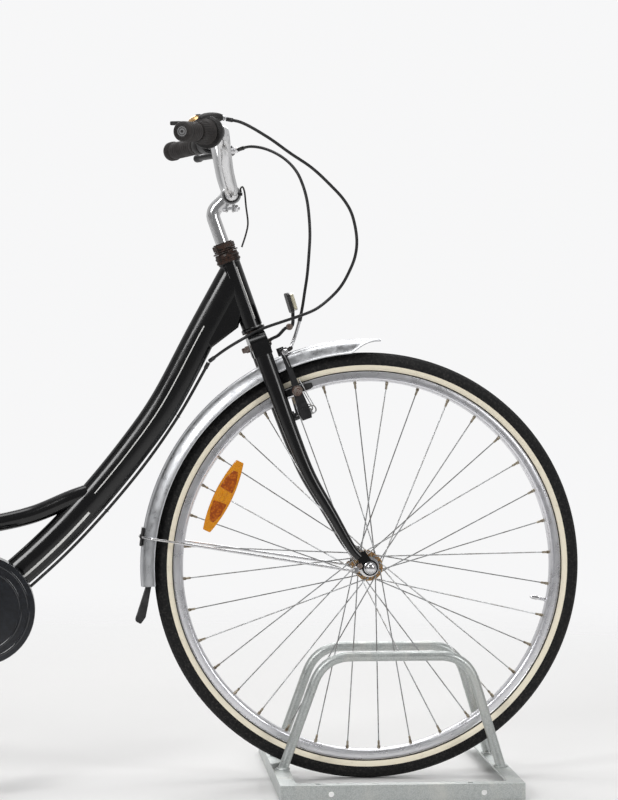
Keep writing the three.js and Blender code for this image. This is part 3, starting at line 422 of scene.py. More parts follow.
def curve(points, step):
    """Points every step millimetres or less along a smooth curve through the given places."""
    places = [Vector(p) for p in points]
    places = [2 * places[0] - places[1], *places, 2 * places[-1] - places[-2]]
    track = [places[1]]
    for i in range(1, len(places) - 2):
        p0, p1, p2, p3 = places[i - 1:i + 3]
        knots = [0.0]
        for a, b in ((p0, p1), (p1, p2), (p2, p3)):
            knots.append(knots[-1] + max(1e-6, (b - a).length) ** 0.5)
        count = max(2, math.ceil((p2 - p1).length / (step * MM)))
        for k in range(1, count + 1):
            t = knots[1] + (knots[2] - knots[1]) * k / count

            def between(a, b, start, end):
                return a * ((end - t) / (end - start)) + b * ((t - start) / (end - start))

            a1 = between(p0, p1, knots[0], knots[1])
            a2 = between(p1, p2, knots[1], knots[2])
            a3 = between(p2, p3, knots[2], knots[3])
            b1 = between(a1, a2, knots[0], knots[2])
            b2 = between(a2, a3, knots[1], knots[3])
            track.append(between(b1, b2, knots[1], knots[2]))
    return track


def bent(points, radius, steps):
    """Straight runs with rounded corners."""
    places = [Vector(p) for p in points]
    track = [places[0]]
    for before, corner, after in zip(places, places[1:], places[2:]):
        enter = corner + (before - corner).normalized() * radius * MM
        leave = corner + (after - corner).normalized() * radius * MM
        for k in range(steps + 1):
            t = k / steps
            track.append(enter * (1 - t) ** 2 + corner * 2 * t * (1 - t) + leave * t * t)
    track.append(places[-1])
    return track


def square_axes(direction, hint=None):
    """Two axes square to a direction; the first lies as near to the hint as it can."""
    hint = hint or (LEFT if abs(direction.normalized().y) < 0.9 else AHEAD)
    across = (hint - direction * hint.dot(direction) / direction.length_squared).normalized()
    return across, direction.normalized().cross(across)


def quads(rows, width, joined=False, ringed=True):
    """Faces between rows of points; joined adds the last row to the first, ringed closes each row."""
    faces = []
    for i in range(rows if joined else rows - 1):
        near, far = i * width, (i + 1) % rows * width
        for k in range(width if ringed else width - 1):
            j = (k + 1) % width
            faces.append((near + k, near + j, far + j, far + k))
    return faces


def end_caps(rows, width):
    return [tuple(reversed(range(width))), tuple(range((rows - 1) * width, rows * width))]


def sweep(path, outline, across=None, closed=False):
    """Carries an outline, a list of (across, other) or a function of t that gives one, along a path."""
    count = len(path)
    points = []
    side = across or square_axes(path[1] - path[0])[0]
    for i, place in enumerate(path):
        after = path[(i + 1) % count] if closed or i < count - 1 else place
        before = path[i - 1] if closed or i > 0 else place
        side, other = square_axes(after - before, side)
        section = outline(i / (count - 1)) if callable(outline) else outline
        points += [place + (side * a + other * b) * MM for a, b in section]
    width = len(section)
    faces = quads(count, width, closed)
    return points, faces if closed else faces + end_caps(count, width)


def oval(half_width, half_depth=None, sides=20):
    depth = half_width if half_depth is None else half_depth
    return [(half_width * math.cos(2 * math.pi * k / sides), depth * math.sin(2 * math.pi * k / sides))
            for k in range(sides)]


def oblong(a, b):
    return [(a, b), (-a, b), (-a, -b), (a, -b)]


def clipped(a, b, cut_a, cut_b):
    """An oblong outline with its corners cut off."""
    return [(-a, -b + cut_b), (-a + cut_a, -b), (a - cut_a, -b), (a, -b + cut_b), (a, b - cut_b),
            (a - cut_a, b), (-a + cut_a, b), (-a, b - cut_b)]


def tube(path, radius, sides):
    return sweep(path, oval(radius, sides=sides))


def around(axis, count):
    """Unit vectors square to an axis, spread evenly round it."""
    across, other = square_axes(axis)
    angles = [2 * math.pi * k / count for k in range(count)]
    return [across * math.cos(angle) + other * math.sin(angle) for angle in angles]


def lathe(origin, axis, profile, segments, closed=True):
    """Turns (radius, height) points round an axis. An open profile gets flat ends."""
    points = [origin + (out * r + axis * h) * MM for out in around(axis, segments) for r, h in profile]
    width = len(profile)
    faces = quads(segments, width, True, closed)
    if not closed:
        faces.append(tuple(k * width for k in reversed(range(segments))))
        faces.append(tuple(k * width + width - 1 for k in range(segments)))
    return points, faces


def collar(bore, outer, low, high, cut=0.6, rise=0.8):
    """A ring's profile with the corners of its outer edge cut off."""
    return [(bore, low), (outer - cut, low), (outer, low + rise), (outer, high - rise), (outer - cut, high),
            (bore, high)]


def pin(start, end, radius, segments, chamfer=0.4):
    """A solid round rod with chamfered ends."""
    length = (end - start).length / MM
    profile = [(radius - chamfer, 0), (radius, chamfer), (radius, length - chamfer),
               (radius - chamfer, length)]
    return lathe(start, (end - start).normalized(), profile, segments, False)


def cross_pin(centre, half, radius, segments, chamfer=0.4):
    """A rod from side to side through a place."""
    return pin(centre - LEFT * half * MM, centre + LEFT * half * MM, radius, segments, chamfer)


def slab(outline, origin, u, v, low, high):
    """A flat plate: an outline in the u and v directions, from low to high along their normal."""
    normal = u.cross(v)
    count = len(outline)
    points = [origin + (u * a + v * b + normal * h) * MM for h in (low, high) for a, b in outline]
    faces = [(k, (k + 1) % count, count + (k + 1) % count, count + k) for k in range(count)]
    faces += [tuple(reversed(range(count))), tuple(range(count, 2 * count))]
    return points, faces


def block(centre, size, u=AHEAD, v=LEFT):
    """A box by its centre and its sizes along u, v and their normal."""
    a, b, c = (s / 2 for s in size)
    return slab([(-a, -b), (a, -b), (a, b), (-a, b)], centre, u, v, -c, c)


def ball(centre, radius, segments):
    rings = segments // 2
    profile = [(radius * math.sin(math.pi * k / rings), -radius * math.cos(math.pi * k / rings))
               for k in range(rings + 1)]
    return lathe(centre, UP, profile, segments)


def nut(origin, axis, size, length, segments=6):
    """A hexagon nut with turned corners."""
    return lathe(origin, axis, [(size - 1, 0), (size, 0.8), (size, length - 0.8), (size - 1, length)],
                 segments, False)


def mirror(shape):
    """The same shape on the other side of the bicycle."""
    points, faces = shape
    return [Vector((p.x, -p.y, p.z)) for p in points], [tuple(reversed(f)) for f in faces]


def solid_mesh(name, points, faces, origin, weld=0.0):
    """A mesh with its faces turned outwards; points nearer than weld are joined."""
    mesh = bpy.data.meshes.new(name)
    mesh.from_pydata([tuple(p - origin) for p in points], [], faces)
    work = bmesh.new()
    work.from_mesh(mesh)
    if weld:
        bmesh.ops.remove_doubles(work, verts=work.verts, dist=weld)
    bmesh.ops.recalc_face_normals(work, faces=work.faces)
    work.to_mesh(mesh)
    work.free()
    return mesh


def piece(name, shapes, body, look, replaces=(), bevel=0.0, smooth=SMOOTH_ANGLE, origin=None):
    """One object made of shapes. It rides on a body and may stand for CAD nodes."""
    points, faces = [], []
    for shape_points, shape_faces in shapes:
        first = len(points)
        points += shape_points
        faces += [tuple(first + i for i in face) for face in shape_faces]
    origin = origin or Vector()
    mesh = solid_mesh(name, points, faces, origin, weld=1e-6)
    mesh.shade_smooth()
    mesh.set_sharp_from_angle(angle=math.radians(smooth))
    mesh.materials.append(look)
    made = bpy.data.objects.new(name, mesh)
    made.location = origin
    scene.collection.objects.link(made)
    if bevel:
        soften(made, bevel)
    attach(made, body)
    if replaces:
        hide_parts(*replaces)
    return made


def soften(target, width):
    """Rounds the hard edges of an object."""
    rounding = target.modifiers.new("edges", "BEVEL")
    rounding.width = width * MM
    rounding.segments = 2
    rounding.limit_method = "ANGLE"
    rounding.angle_limit = math.radians(BEVEL_ANGLE)
    rounding.harden_normals = True


def drill(target, cutters):
    """Cuts shapes out of an object for good."""
    for k, (points, faces) in enumerate(cutters):
        cutter = bpy.data.objects.new(f"cutter_{k}", solid_mesh("cutter", points, faces, target.location))
        cutter.location = target.location
        scene.collection.objects.link(cutter)
        taking = target.modifiers.new("hole", "BOOLEAN")
        taking.object, taking.operation, taking.solver = cutter, "DIFFERENCE", "EXACT"
        taking.use_self = True
        bpy.context.view_layer.update()
        cut = bpy.data.meshes.new_from_object(target.evaluated_get(bpy.context.evaluated_depsgraph_get()))
        target.modifiers.remove(taking)
        target.data = cut
        bpy.data.objects.remove(cutter)
    target.data.set_sharp_from_angle(angle=math.radians(SMOOTH_ANGLE))


# ------------------------------------------------------------------ wheels
WHEEL_SEGMENTS = 288
TREAD_SEGMENTS = 720
TREAD_BLOCK = 4                  # segments from one tread groove to the next
SPOKES = 36
FORK_HALF = 52                   # half the width between the fork ends
STAY_HALF = 62                   # half the width between the rear ends
SPOKE_PHASE = 3.8                # degrees
NIPPLE_SEAT = 302.6              # radius of the rim's inner wall
VALVE_ANGLE = SPOKE_PHASE - 15   # degrees, midway between two spokes
SPOKE_LEAD = 60                  # degrees round the hub from a spoke's rim end to its hub hole


def tread(centre):
    """The black crown of a tyre: rows of blocks between round and cross grooves."""
    crown_r, crown_depth, half_width = 331, 19, 20
    outer = list(range(-92, 93, 8))
    inner = list(range(88, -89, -22))
    round_grooves = {-52, -20, 20, 52}
    points = []
    for k in range(TREAD_SEGMENTS):
        angle = 2 * math.pi * k / TREAD_SEGMENTS
        out = Vector((math.cos(angle), 0, math.sin(angle)))
        for place in outer:
            crown = math.radians(place)
            row = 0 if abs(place) < 20 else (2 if abs(place) < 52 else 1)
            cross = row and (k + row * (1 if place > 0 else 3)) % TREAD_BLOCK == 0
            sunk = 1.3 if place in round_grooves or (cross and abs(place) < 84) else 0
            radius = crown_r + (crown_depth - sunk) * math.cos(crown)
            points.append(centre + (out * radius + LEFT * (half_width - sunk) * math.sin(crown)) * MM)
        for place in inner:
            crown = math.radians(place)
            radius = crown_r + (crown_depth - 3) * math.cos(crown)
            points.append(centre + (out * radius + LEFT * (half_width - 2.6) * math.sin(crown)) * MM)
    return points, quads(TREAD_SEGMENTS, len(outer) + len(inner), True)


def both_flanks(profile):
    """A ring's profile from one flank's (radius, left) points: the other flank mirrors them."""
    return [(r, y) for r, y in profile] + [(r, -y) for r, y in reversed(profile)]


WALL_FLANK = [(335.5, 13), (334, 17), (331, 19.7), (328.4, 19.9), (328, 19.5), (326, 19.3), (323.4, 18.1),
              (321.6, 16.6), (321.2, 16.0), (320.2, 14.6), (319.3, 12.6)]
RIM_FLANK = [(313, 9.6), (319.3, 10.2), (319.3, 12.0), (318.4, 12.2), (317.6, 11.6), (316.9, 12.0),
             (309.6, 11.8), (309.0, 10.9), (308.2, 10.9), (307.6, 11.6), (305.8, 10.9), (303.8, 8.6),
             (NIPPLE_SEAT, 5.4)]


def spoke_line(k, centre, hole_r, flange_half):
    """Hub end and rim end of one spoke."""
    side = -1 if k % 2 == 0 else 1
    leading = k % 4 in (0, 3)
    angle = SPOKE_PHASE + k * 360 / SPOKES
    apart = 2.1 if leading else -2.1
    hub_end = polar(centre, hole_r, angle + (SPOKE_LEAD if leading else -SPOKE_LEAD),
                    side * (flange_half + apart))
    return hub_end, polar(centre, NIPPLE_SEAT, angle, side * 2.6)


def spokes(prefix, body, centre, hole_r, flange_half):
    wires, heads, nipples = [], [], []
    for k in range(SPOKES):
        hub_end, rim_end = spoke_line(k, centre, hole_r, flange_half)
        along = (rim_end - hub_end).normalized()
        wires.append(tube([hub_end, rim_end - along * 8 * MM], 1.0, 8))
        inward = Vector((0, -1 if hub_end.y * (1 if k % 4 in (0, 3) else -1) > 0 else 1, 0))
        heads.append(lathe(hub_end, -inward, [(0, -4.2), (1.1, -4.2), (1.1, 0.6), (2.2, 0.8), (1.6, 1.9),
                                              (0, 2.1)], 10))
        nipples.append(lathe(rim_end - along * 12 * MM, along, [(0, 0), (1.5, 0), (1.9, 1.2), (1.9, 7.5),
                                                                (2.6, 8.2), (2.6, 12.4), (0, 12.4)], 10))
    piece(f"{prefix}_spokes", wires, body, SPOKE_STEEL)
    piece(f"{prefix}_spoke_heads", heads, body, SPOKE_STEEL)
    piece(f"{prefix}_nipples", nipples, body, NIPPLE_BRASS)


def valve(prefix, body, centre):
    """Valve stem with its thread, lock ring and cap."""
    out = (centre - polar(centre, 1, VALVE_ANGLE)).normalized()
    base = polar(centre, 303, VALVE_ANGLE)
    stem = [(0, 0), (4.4, 0), (4.4, 2.2), (3.1, 2.6)]
    for k in range(9):
        stem += [(2.75, 3 + k), (3.15, 3.5 + k)]
    stem += [(2.7, 12.4), (2.7, 14), (3.4, 14.4), (3.4, 23), (2.6, 24.6), (1.6, 27), (0, 27.2)]
    piece(f"{prefix}_valve_stem", [lathe(base, out, stem, 20)], body, CHROME,
          [f"{prefix}_valve"])


def wheel(prefix, body, centre, hub_profile, flange_r, flange_half):
    piece(f"{prefix}_tread", [tread(centre)], body, TREAD, [f"{prefix}_tyre"], smooth=60,
          origin=centre)
    piece(f"{prefix}_side_walls", [lathe(centre, LEFT, both_flanks(WALL_FLANK), WHEEL_SEGMENTS)], body,
          WALL, origin=centre)
    bead = [(319.2, 12.8), (320.6, 14.4), (320.6, 15.7), (320, 15.2), (319.2, 13.6)]
    beads = lathe(centre, LEFT, bead, WHEEL_SEGMENTS)
    edge = [(329.6, 19.9), (331.4, 20.0), (331.4, 19.2), (329.6, 19.2)]
    edges = lathe(centre, LEFT, edge, WHEEL_SEGMENTS)
    piece(f"{prefix}_tyre_edges", [beads, mirror(beads), edges, mirror(edges)], body, TREAD,
          origin=centre)
    piece(f"{prefix}_rim_band", [lathe(centre, LEFT, both_flanks(RIM_FLANK), WHEEL_SEGMENTS)], body,
          RIM_METAL, [f"{prefix}_rim"], origin=centre)
    piece(f"{prefix}_hub_shell", [lathe(centre, LEFT, both_flanks(hub_profile), 64)], body, POLISHED,
          [f"{prefix}_hub_and_spokes"])
    flange = collar(flange_r - 7, flange_r, flange_half - 1.4, flange_half + 1.4, 0.6, 0.6)
    near = lathe(centre, LEFT, flange, 64)
    piece(f"{prefix}_hub_flanges", [near, mirror(near)], body, GOLD_RUST)
    spokes(prefix, body, centre, flange_r - 4, flange_half)
    valve(prefix, body, centre)


FRONT_HUB = [(6.4, 37.6), (9.5, 37.6), (12.5, 36.4), (12.5, 34), (17, 33.2), (17, 28.8), (13.5, 27),
             (11, 20), (11, 0)]
REAR_HUB = [(6.4, 33.6), (16, 33.6), (24, 32), (31, 30), (31, 26), (27, 24.5), (26.4, 18), (26, 0)]
wheel("front", "front_wheel", FRONT_AXLE, FRONT_HUB, 23, 31)
wheel("rear", "rear_wheel", REAR_AXLE, REAR_HUB, 37, 28)


def lens_outline(half, bulge, end):
    """A long lens with blunt ends: half its length, and half its width in the middle and at the ends."""
    spread = [k / 7 - 1 for k in range(15)]
    edge = [(half * t, end + (bulge - end) * (1 - t ** 2)) for t in spread]
    return edge + [(a, -b) for a, b in reversed(edge)]


def spoke_reflector():
    """Amber lens across the spokes, with two prism windows and a clip in the middle."""
    centre = polar(FRONT_AXLE, 264, 154, -16)
    out = (centre - FRONT_AXLE - LEFT * (centre - FRONT_AXLE).y).normalized()
    along = Vector((-out.z, 0, out.x))
    piece("spoke_reflector_body", [slab(lens_outline(63, 15, 6.4), centre, along, out, -3, 3)],
          "front_wheel", AMBER, ["front_spoke_reflector"], bevel=1.2)
    for side, name in ((-1, "low"), (1, "high")):
        window = [(side * a, b) for a, b in ((10, -11), (12, 11.4), (30, 9.6), (45, 3), (46, -4),
                                             (30, -9.8))]
        piece(f"spoke_reflector_prisms_{name}",
              [slab(window, centre + LEFT * -3.0 * MM, along, out, -0.7, 0.9)], "front_wheel", AMBER_DEEP,
              bevel=0.5)
    for shift in (-5, 5):
        tab = slab(oval(5, 3.4), centre + along * shift * MM - LEFT * 3.4 * MM, along, out, -0.8, 0.8)
        piece(f"spoke_reflector_tab_{'a' if shift < 0 else 'b'}", [tab], "front_wheel", AMBER,
              bevel=0.4)


spoke_reflector()


def axle_ends(name, body, centre, half, plate, replaced, dome):
    """Axle with washers and nuts outside the fork ends; the front one ends in domed nuts."""
    low = half + plate / 2 + 0.3
    rod = cross_pin(centre, low + 9, 4.8, 24, 0.8)
    washer = lathe(centre, LEFT, [(5, low), (10.4, low), (10.4, low + 1.6), (9.6, low + 2.1),
                                  (5, low + 2.1)], 40)
    if dome:
        cap = lathe(centre, LEFT, [(0, low + 2), (8.6, low + 2), (8.6, low + 7), (7.4, low + 9.4),
                                   (5, low + 11), (2.6, low + 11.6), (0, low + 11.8)], 40)
    else:
        cap = nut(centre + LEFT * (low + 2) * MM, LEFT, 9, 8)
    cone = lathe(centre, LEFT, [(5, half - plate / 2 - 8), (8, half - plate / 2 - 8),
                                (8, half - plate / 2 - 0.3), (5, half - plate / 2 - 0.3)], 32)
    shapes = [rod] + [s for part in (washer, cap, cone) for s in (part, mirror(part))]
    piece(name, shapes, body, CHROME, [replaced], smooth=30)


axle_ends("front_axle_nuts", "steering", FRONT_AXLE, FORK_HALF, 6, "front_axle", True)
axle_ends("rear_axle_nuts", "frame", REAR_AXLE, STAY_HALF, 5, "rear_axle", False)


# ------------------------------------------------------------------ head tube, headset and fork
BRAKE_BOSS = -152                # brake pivots, up the steering axis from the head tube's foot
PAD_HEIGHT = -113                # brake pads, the same way
HEAD_R = 17.3
HEAD_TOP = 121


def ring_bead(centre, axis, radius, thickness, seed, steps):
    """A weld bead round a tube, of uneven thickness."""
    path = [centre + out * radius * MM for out in around(axis, steps)]
    dice = random.Random(seed)
    sizes = [thickness * dice.uniform(0.7, 1.25) for _ in path]
    return sweep(path, lambda t: oval(sizes[min(steps - 1, round(t * (steps - 1)))], sides=8), closed=True)


def head():
    tube_profile = [(15, 2), (HEAD_R + 1.6, 2), (HEAD_R + 2.2, 3), (HEAD_R + 2.2, 6.5), (HEAD_R, 8.5),
                    (HEAD_R, HEAD_TOP - 3), (HEAD_R + 1.2, HEAD_TOP - 2), (HEAD_R + 1.2, HEAD_TOP),
                    (15, HEAD_TOP)]
    piece("head_tube_shell", [lathe(HEAD_FOOT, AXIS_UP, tube_profile, 72)], "frame", BLACK_PAINT,
          ["head_tube"])
    lower = [(13.6, 0.3), (19.2, 0.3), (19.8, 1.2), (19.2, 2.2), (13.6, 2.2)]
    upper = [(13.6, 121), (19.4, 121), (20.1, 122), (20.1, 124.6), (18.9, 125.6), (18.9, 128), (20, 128.8),
             (20.2, 131), (19.2, 132), (18.4, 136.8), (13.6, 136.8)]
    cups = [lathe(HEAD_FOOT, AXIS_UP, profile, 64) for profile in (lower, upper)]
    piece("headset_cups", cups, "frame", BROWN_RUST)
    stack = [lathe(HEAD_FOOT, AXIS_UP, profile, 56)
             for profile in ([(13.6, 137.3), (20.6, 137.3), (20.9, 138.4), (20.4, 139.6), (13.6, 139.6)],
                             [(13.6, 139.8), (17.6, 139.8), (18.2, 141), (17.6, 143), (13.6, 143)])]
    locknut = nut(on_axis(143.2), AXIS_UP, 18.6, 9, 8)
    crown_race = lathe(HEAD_FOOT, AXIS_UP, [(12.8, 152.3), (15.6, 152.3), (15.6, 154), (12.8, 154)], 40)
    piece("headset_stack", [*stack, locknut, crown_race], "steering", BROWN_RUST,
          ["headset_locknut"], bevel=0.35)


def blade_path(side):
    return curve([on_axis(-20, 0, side * 37), on_axis(-60, 0, side * 39), on_axis(-90, 0, side * 41),
                  on_axis(-170, 0, side * 45), on_axis(-250, 4, side * 49), on_axis(-320, 17, side * 51.5),
                  at(-28, side * FORK_HALF, 379), at(-17, side * FORK_HALF, 367)], 5)


def fork():
    crown_outline = [(-20, -0.6), (-34, -5), (-45, -14), (-49, -26), (-49.5, -40), (-27, -42), (-22, -34),
                     (-14, -29), (14, -29), (22, -34), (27, -42), (49.5, -40), (49, -26), (45, -14),
                     (34, -5), (20, -0.6)]
    crown = slab(crown_outline, on_axis(0), LEFT, AXIS_UP, -15, 15)
    steerer = pin(on_axis(-6), on_axis(152), 12.6, 40)
    piece("fork_crown_forging", [crown, steerer], "steering", BLACK_PAINT, ["fork_crown"],
          bevel=6.5)
    bolt = [nut(on_axis(-24, 16), AXIS_AHEAD, 6.5, 5), nut(on_axis(-24, -16), -AXIS_AHEAD, 6.5, 7),
            lathe(on_axis(-24, -16), -AXIS_AHEAD, [(0, 6), (4.4, 6), (4.4, 12), (3, 13), (0, 13)], 20)]
    piece("fork_crown_bolt", bolt, "steering", BOLT_RUST)
    for name, side in SIDES:
        path = blade_path(side)

        def section(t):
            slim = max(0.0, t - 0.2) / 0.8
            return oval(10.6 - 5.2 * slim, 14.2 - 7.4 * slim, 28)

        blade = sweep(path, section, LEFT)
        end = lathe(FRONT_AXLE + LEFT * side * FORK_HALF * MM, LEFT, collar(5.2, 13.2, -3, 3), 48)
        eyelet = cross_pin(at(-17, side * FORK_HALF, 353), 3, 6.4, 28)
        web = slab([(-25, 372), (-18, 358), (-12, 345), (-4, 341), (4, 360), (-9, 378)],
                   at(0, side * FORK_HALF, 0), AHEAD, UP, -2.8, 2.8)
        boss = pin(on_axis(BRAKE_BOSS, 0, side * 41), on_axis(BRAKE_BOSS, 20, side * 41), 6.2, 28)
        piece(f"fork_blade_{name}_tube", [blade, end, eyelet, web, boss], "steering", BLACK_PAINT,
              [f"fork_blade_{name}"], smooth=45)
        bolt_head = nut(at(-17, side * (FORK_HALF + 3), 353), LEFT * side, 5.2, 4.2)
        piece(f"fork_eyelet_bolt_{name}", [bolt_head], "steering", BOLT_RUST, bevel=0.4)


head()
fork()


# ------------------------------------------------------------------ front brake
def spring_coil(centre, axis, radius, wire, turns, pitch):
    outward = around(axis, 20)
    steps = 20 * turns
    path = [centre + (axis * (k / steps - 0.5) * turns * pitch + outward[k % 20] * radius) * MM
            for k in range(steps + 1)]
    return tube(path, wire, 8)


def brake_arm(name, side):
    """One arm of a linear-pull brake with its pad, holder, washers and return spring."""
    body = f"arm_{name}"
    y = side * 39
    plate = [(-8, -10), (8, -10), (10, 0), (7.5, 30), (5, 62), (3.6, 96), (7, 100), (7, 112), (-5, 112),
             (-5, 98), (-4.4, 60), (-8, 30), (-10, 0)]
    arm = slab(plate, on_axis(BRAKE_BOSS, 32, y), AXIS_AHEAD, AXIS_UP, -4.2, 4.2)
    hub = cross_pin(on_axis(BRAKE_BOSS, 32, y), 6.4, 9.4, 32)
    piece(f"brake_arm_{name}_forging", [arm, hub], body, BLACK_STEEL, [f"brake_arm_{name}"],
          bevel=1.4)
    pad_at = on_axis(PAD_HEIGHT, 30, side * 20)
    shoe = [(-29, -4.6), (-24, -5.6), (25, -5.2), (30, -3.4), (30, 4), (22, 5.2), (-24, 5.6), (-29, 4.4)]
    piece(f"brake_pad_{name}", [slab(shoe, pad_at, AXIS_AHEAD, AXIS_UP, -4.2, 4.2)], body, PAD_RUBBER,
          bevel=1.0)
    holder = [pin(on_axis(PAD_HEIGHT, 32, side * 24), on_axis(PAD_HEIGHT, 32, side * 31), 7.2, 32),
              pin(on_axis(PAD_HEIGHT, 32, side * 31), on_axis(PAD_HEIGHT, 32, side * 34.5), 9.2, 32)]
    piece(f"brake_pad_holder_{name}", holder, body, BLACK_PLASTIC)
    pad_bolt = [nut(on_axis(PAD_HEIGHT, 32, side * 44), LEFT * side, 6.6, 5.4),
                lathe(on_axis(PAD_HEIGHT, 32, 0), LEFT * side,
                      [(0, 33), (3, 33), (3, 52), (2.2, 53), (0, 53)], 20),
                lathe(on_axis(PAD_HEIGHT, 32, 0), LEFT * side,
                      [(3, 43.2), (8.6, 43.2), (8.6, 44.6), (3, 44.6)], 32)]
    piece(f"brake_pad_bolt_{name}", pad_bolt, body, BOLT_RUST, bevel=0.3)
    coil = spring_coil(on_axis(-150, 45, side * 36), LEFT, 6.4, 0.9, 3, 2.6)
    leg = tube(bent([on_axis(-150, 51.4, side * 32), on_axis(-128, 47, side * 32),
                     on_axis(-96, 41, side * 34)], 5, 5), 0.9, 8)
    bolt = nut(on_axis(BRAKE_BOSS, 38, y), AXIS_AHEAD, 6.0, 6)
    piece(f"brake_spring_{name}", [coil, leg, bolt], body, SPOKE_STEEL)


def brake_link():
    """The cable's silver bend between the two arms, its rubber boot and the clamped inner wire."""
    noodle = curve([at(-109, 26, 753), at(-113, 28, 738), at(-118, 29.5, 722), at(-122, 27, 712),
                    at(-124, 17, 707)], 2)
    piece("brake_noodle",
          [tube(noodle, 2.9, 18),
           lathe(noodle[0], noodle[0] - noodle[3], [(0, -6), (3.8, -6), (4, 2), (3.4, 3.4), (0, 3.4)], 24)],
          "steering", CHROME)
    start = noodle[-1]
    end = on_axis(-48, 31, -39)
    wire = [start.lerp(end, k / 12) for k in range(13)]
    boot = [(0, 0), (3.2, 0)] + [(2.6 + 0.9 * (k % 2), 2 + 2 * k) for k in range(9)] + [(2.0, 21), (0, 21)]
    piece("brake_boot", [lathe(start, (end - start).normalized(), boot, 20)], "steering", GRIP_RUBBER)
    tail = tube(bent([end, on_axis(-52, 31, -50), on_axis(-72, 33, -50)], 4, 5), 0.8, 8)
    piece("brake_inner_wire", [tube(wire, 0.8, 8), tail], "steering", SPOKE_STEEL)
    clamp = [nut(on_axis(-47, 34, -44), -LEFT, 5.6, 4.4),
             pin(on_axis(-47, 34, -48), on_axis(-47, 34, -53), 3.0, 20)]
    piece("brake_wire_clamp", clamp, "arm_right", CHROME)


for arm_name, arm_side in SIDES:
    brake_arm(arm_name, arm_side)
brake_link()


# ------------------------------------------------------------------ stem, handlebar and what is on it
BAR_R = 11.1
CLAMP = at(-224, 0, 957)
BAR_HALF = [(-224, 0, 957), (-224, 28, 957), (-226, 48, 965), (-233, 66, 990), (-238, 84, 1020),
            (-242, 112, 1044), (-246.2, 150, 1050.4), (-250.1, 158, 1050), (-280, 220, 1046.7),
            (-314, 290, 1043)]
BAR_PATH = curve([at(x, -y, z) for x, y, z in reversed(BAR_HALF[1:])] + [at(*p) for p in BAR_HALF], 4)


def on_bar(left):
    """The place on the bar that is this many millimetres to the left."""
    for a, b in zip(BAR_PATH, BAR_PATH[1:]):
        if a.y <= left * MM <= b.y:
            return a.lerp(b, (left * MM - a.y) / (b.y - a.y))
    return BAR_PATH[-1] if left > 0 else BAR_PATH[0]


def bar_direction(left):
    """Along the bar, outwards."""
    outward = 1 if left > 0 else -1
    return (on_bar(left + outward) - on_bar(left - outward)).normalized()


def sleeve(start, profile, segments=48):
    """A turned piece on the bar: its profile's heights are counted outwards from a place."""
    return lathe(on_bar(start), bar_direction(start), profile, segments)


def stem():
    neck = bent([on_axis(120), on_axis(207), at(-229, 0, 954)], 13, 12)
    quill = sweep(neck, lambda t: oval(11.2 - 0.6 * t, 11.2 + 0.9 * max(0, t - 0.5), 36), LEFT)
    barrel = lathe(CLAMP, LEFT, collar(BAR_R + 0.4, 16.2, -21, 21, 0.8, 1.4), 48)
    piece("stem_casting", [quill, barrel], "steering", POLISHED, ["stem"], smooth=50)
    ears = [block(CLAMP + Vector((-0.001 + s * 0.0055, 0, -0.0195)), (4.4, 21, 17)) for s in (-1, 1)]
    piece("stem_clamp_ears", ears, "steering", POLISHED, bevel=1.6)
    low = CLAMP + Vector((0, 0, -0.0215))
    bolt = [nut(low + AHEAD * 7 * MM, AHEAD, 6.4, 5), pin(low - AHEAD * 13 * MM, low - AHEAD * 7 * MM, 6.2,
                                                          24, 1.2),
            pin(low - AHEAD * 8 * MM, low + AHEAD * 15 * MM, 3, 20)]
    piece("stem_clamp_bolt", bolt, "steering", CHROME, bevel=0.4)


def handlebar():
    piece("handlebar_tube", [tube(BAR_PATH, BAR_R, 32)], "steering", POLISHED,
          ["handlebar"])


def ribbed(length, radius_start, radius_end, ribs, depth):
    """A profile with shallow grooves round it, from the bar's surface outwards."""
    profile = [(BAR_R + 0.2, 0), (radius_start - 0.8, 0), (radius_start, 0.8)]
    for k in range(ribs):
        middle = 3 + (length - 6) * (k + 0.5) / ribs
        radius = radius_start + (radius_end - radius_start) * middle / length
        pitch = (length - 6) / ribs
        profile += [(radius, middle - pitch * 0.45), (radius, middle + pitch * 0.1),
                    (radius - depth, middle + pitch * 0.2), (radius - depth, middle + pitch * 0.4)]
    return profile + [(radius_end, length - 1), (radius_end - 0.8, length), (BAR_R + 0.2, length)]


def grips():
    far = ribbed(80, 13.8, 14.8, 11, 0.5)
    cap = [(0, 82), (5, 82.4), (5, 95.6), (9, 95.6), (14.6, 95), (16.4, 93), (16.6, 84), (15.2, 80),
           (11.4, 79.6), (11.4, 82)]
    piece("grip_left_sleeve", [sleeve(200, far), sleeve(200, cap)], "steering", GRIP_RUBBER,
          ["grip_left"])
    near = ribbed(42, 15.2, 15.6, 5, 0.5)
    end = [(0, 45.4), (3.2, 45.4), (3.2, 48.6), (12.2, 49.2), (14.6, 48.2), (15.6, 46), (15.7, 41.5),
           (11.4, 41.5), (11.4, 44.4)]
    rings = [[(r - 0.5, 49.0), (r, 48.6), (r + 0.5, 49.4), (r, 49.9)] for r in (5.4, 8.2, 11.0)]
    piece("grip_right_sleeve",
          [sleeve(-246, near), sleeve(-246, end), *[sleeve(-246, ring) for ring in rings]], "steering",
          GRIP_RUBBER, ["grip_right"])
    hole = [(0, 48), (2.2, 48), (2.2, 49.6), (0, 49.7)]
    piece("grip_right_plug", [sleeve(-246, hole, 24)], "steering", BLACK_PLASTIC)


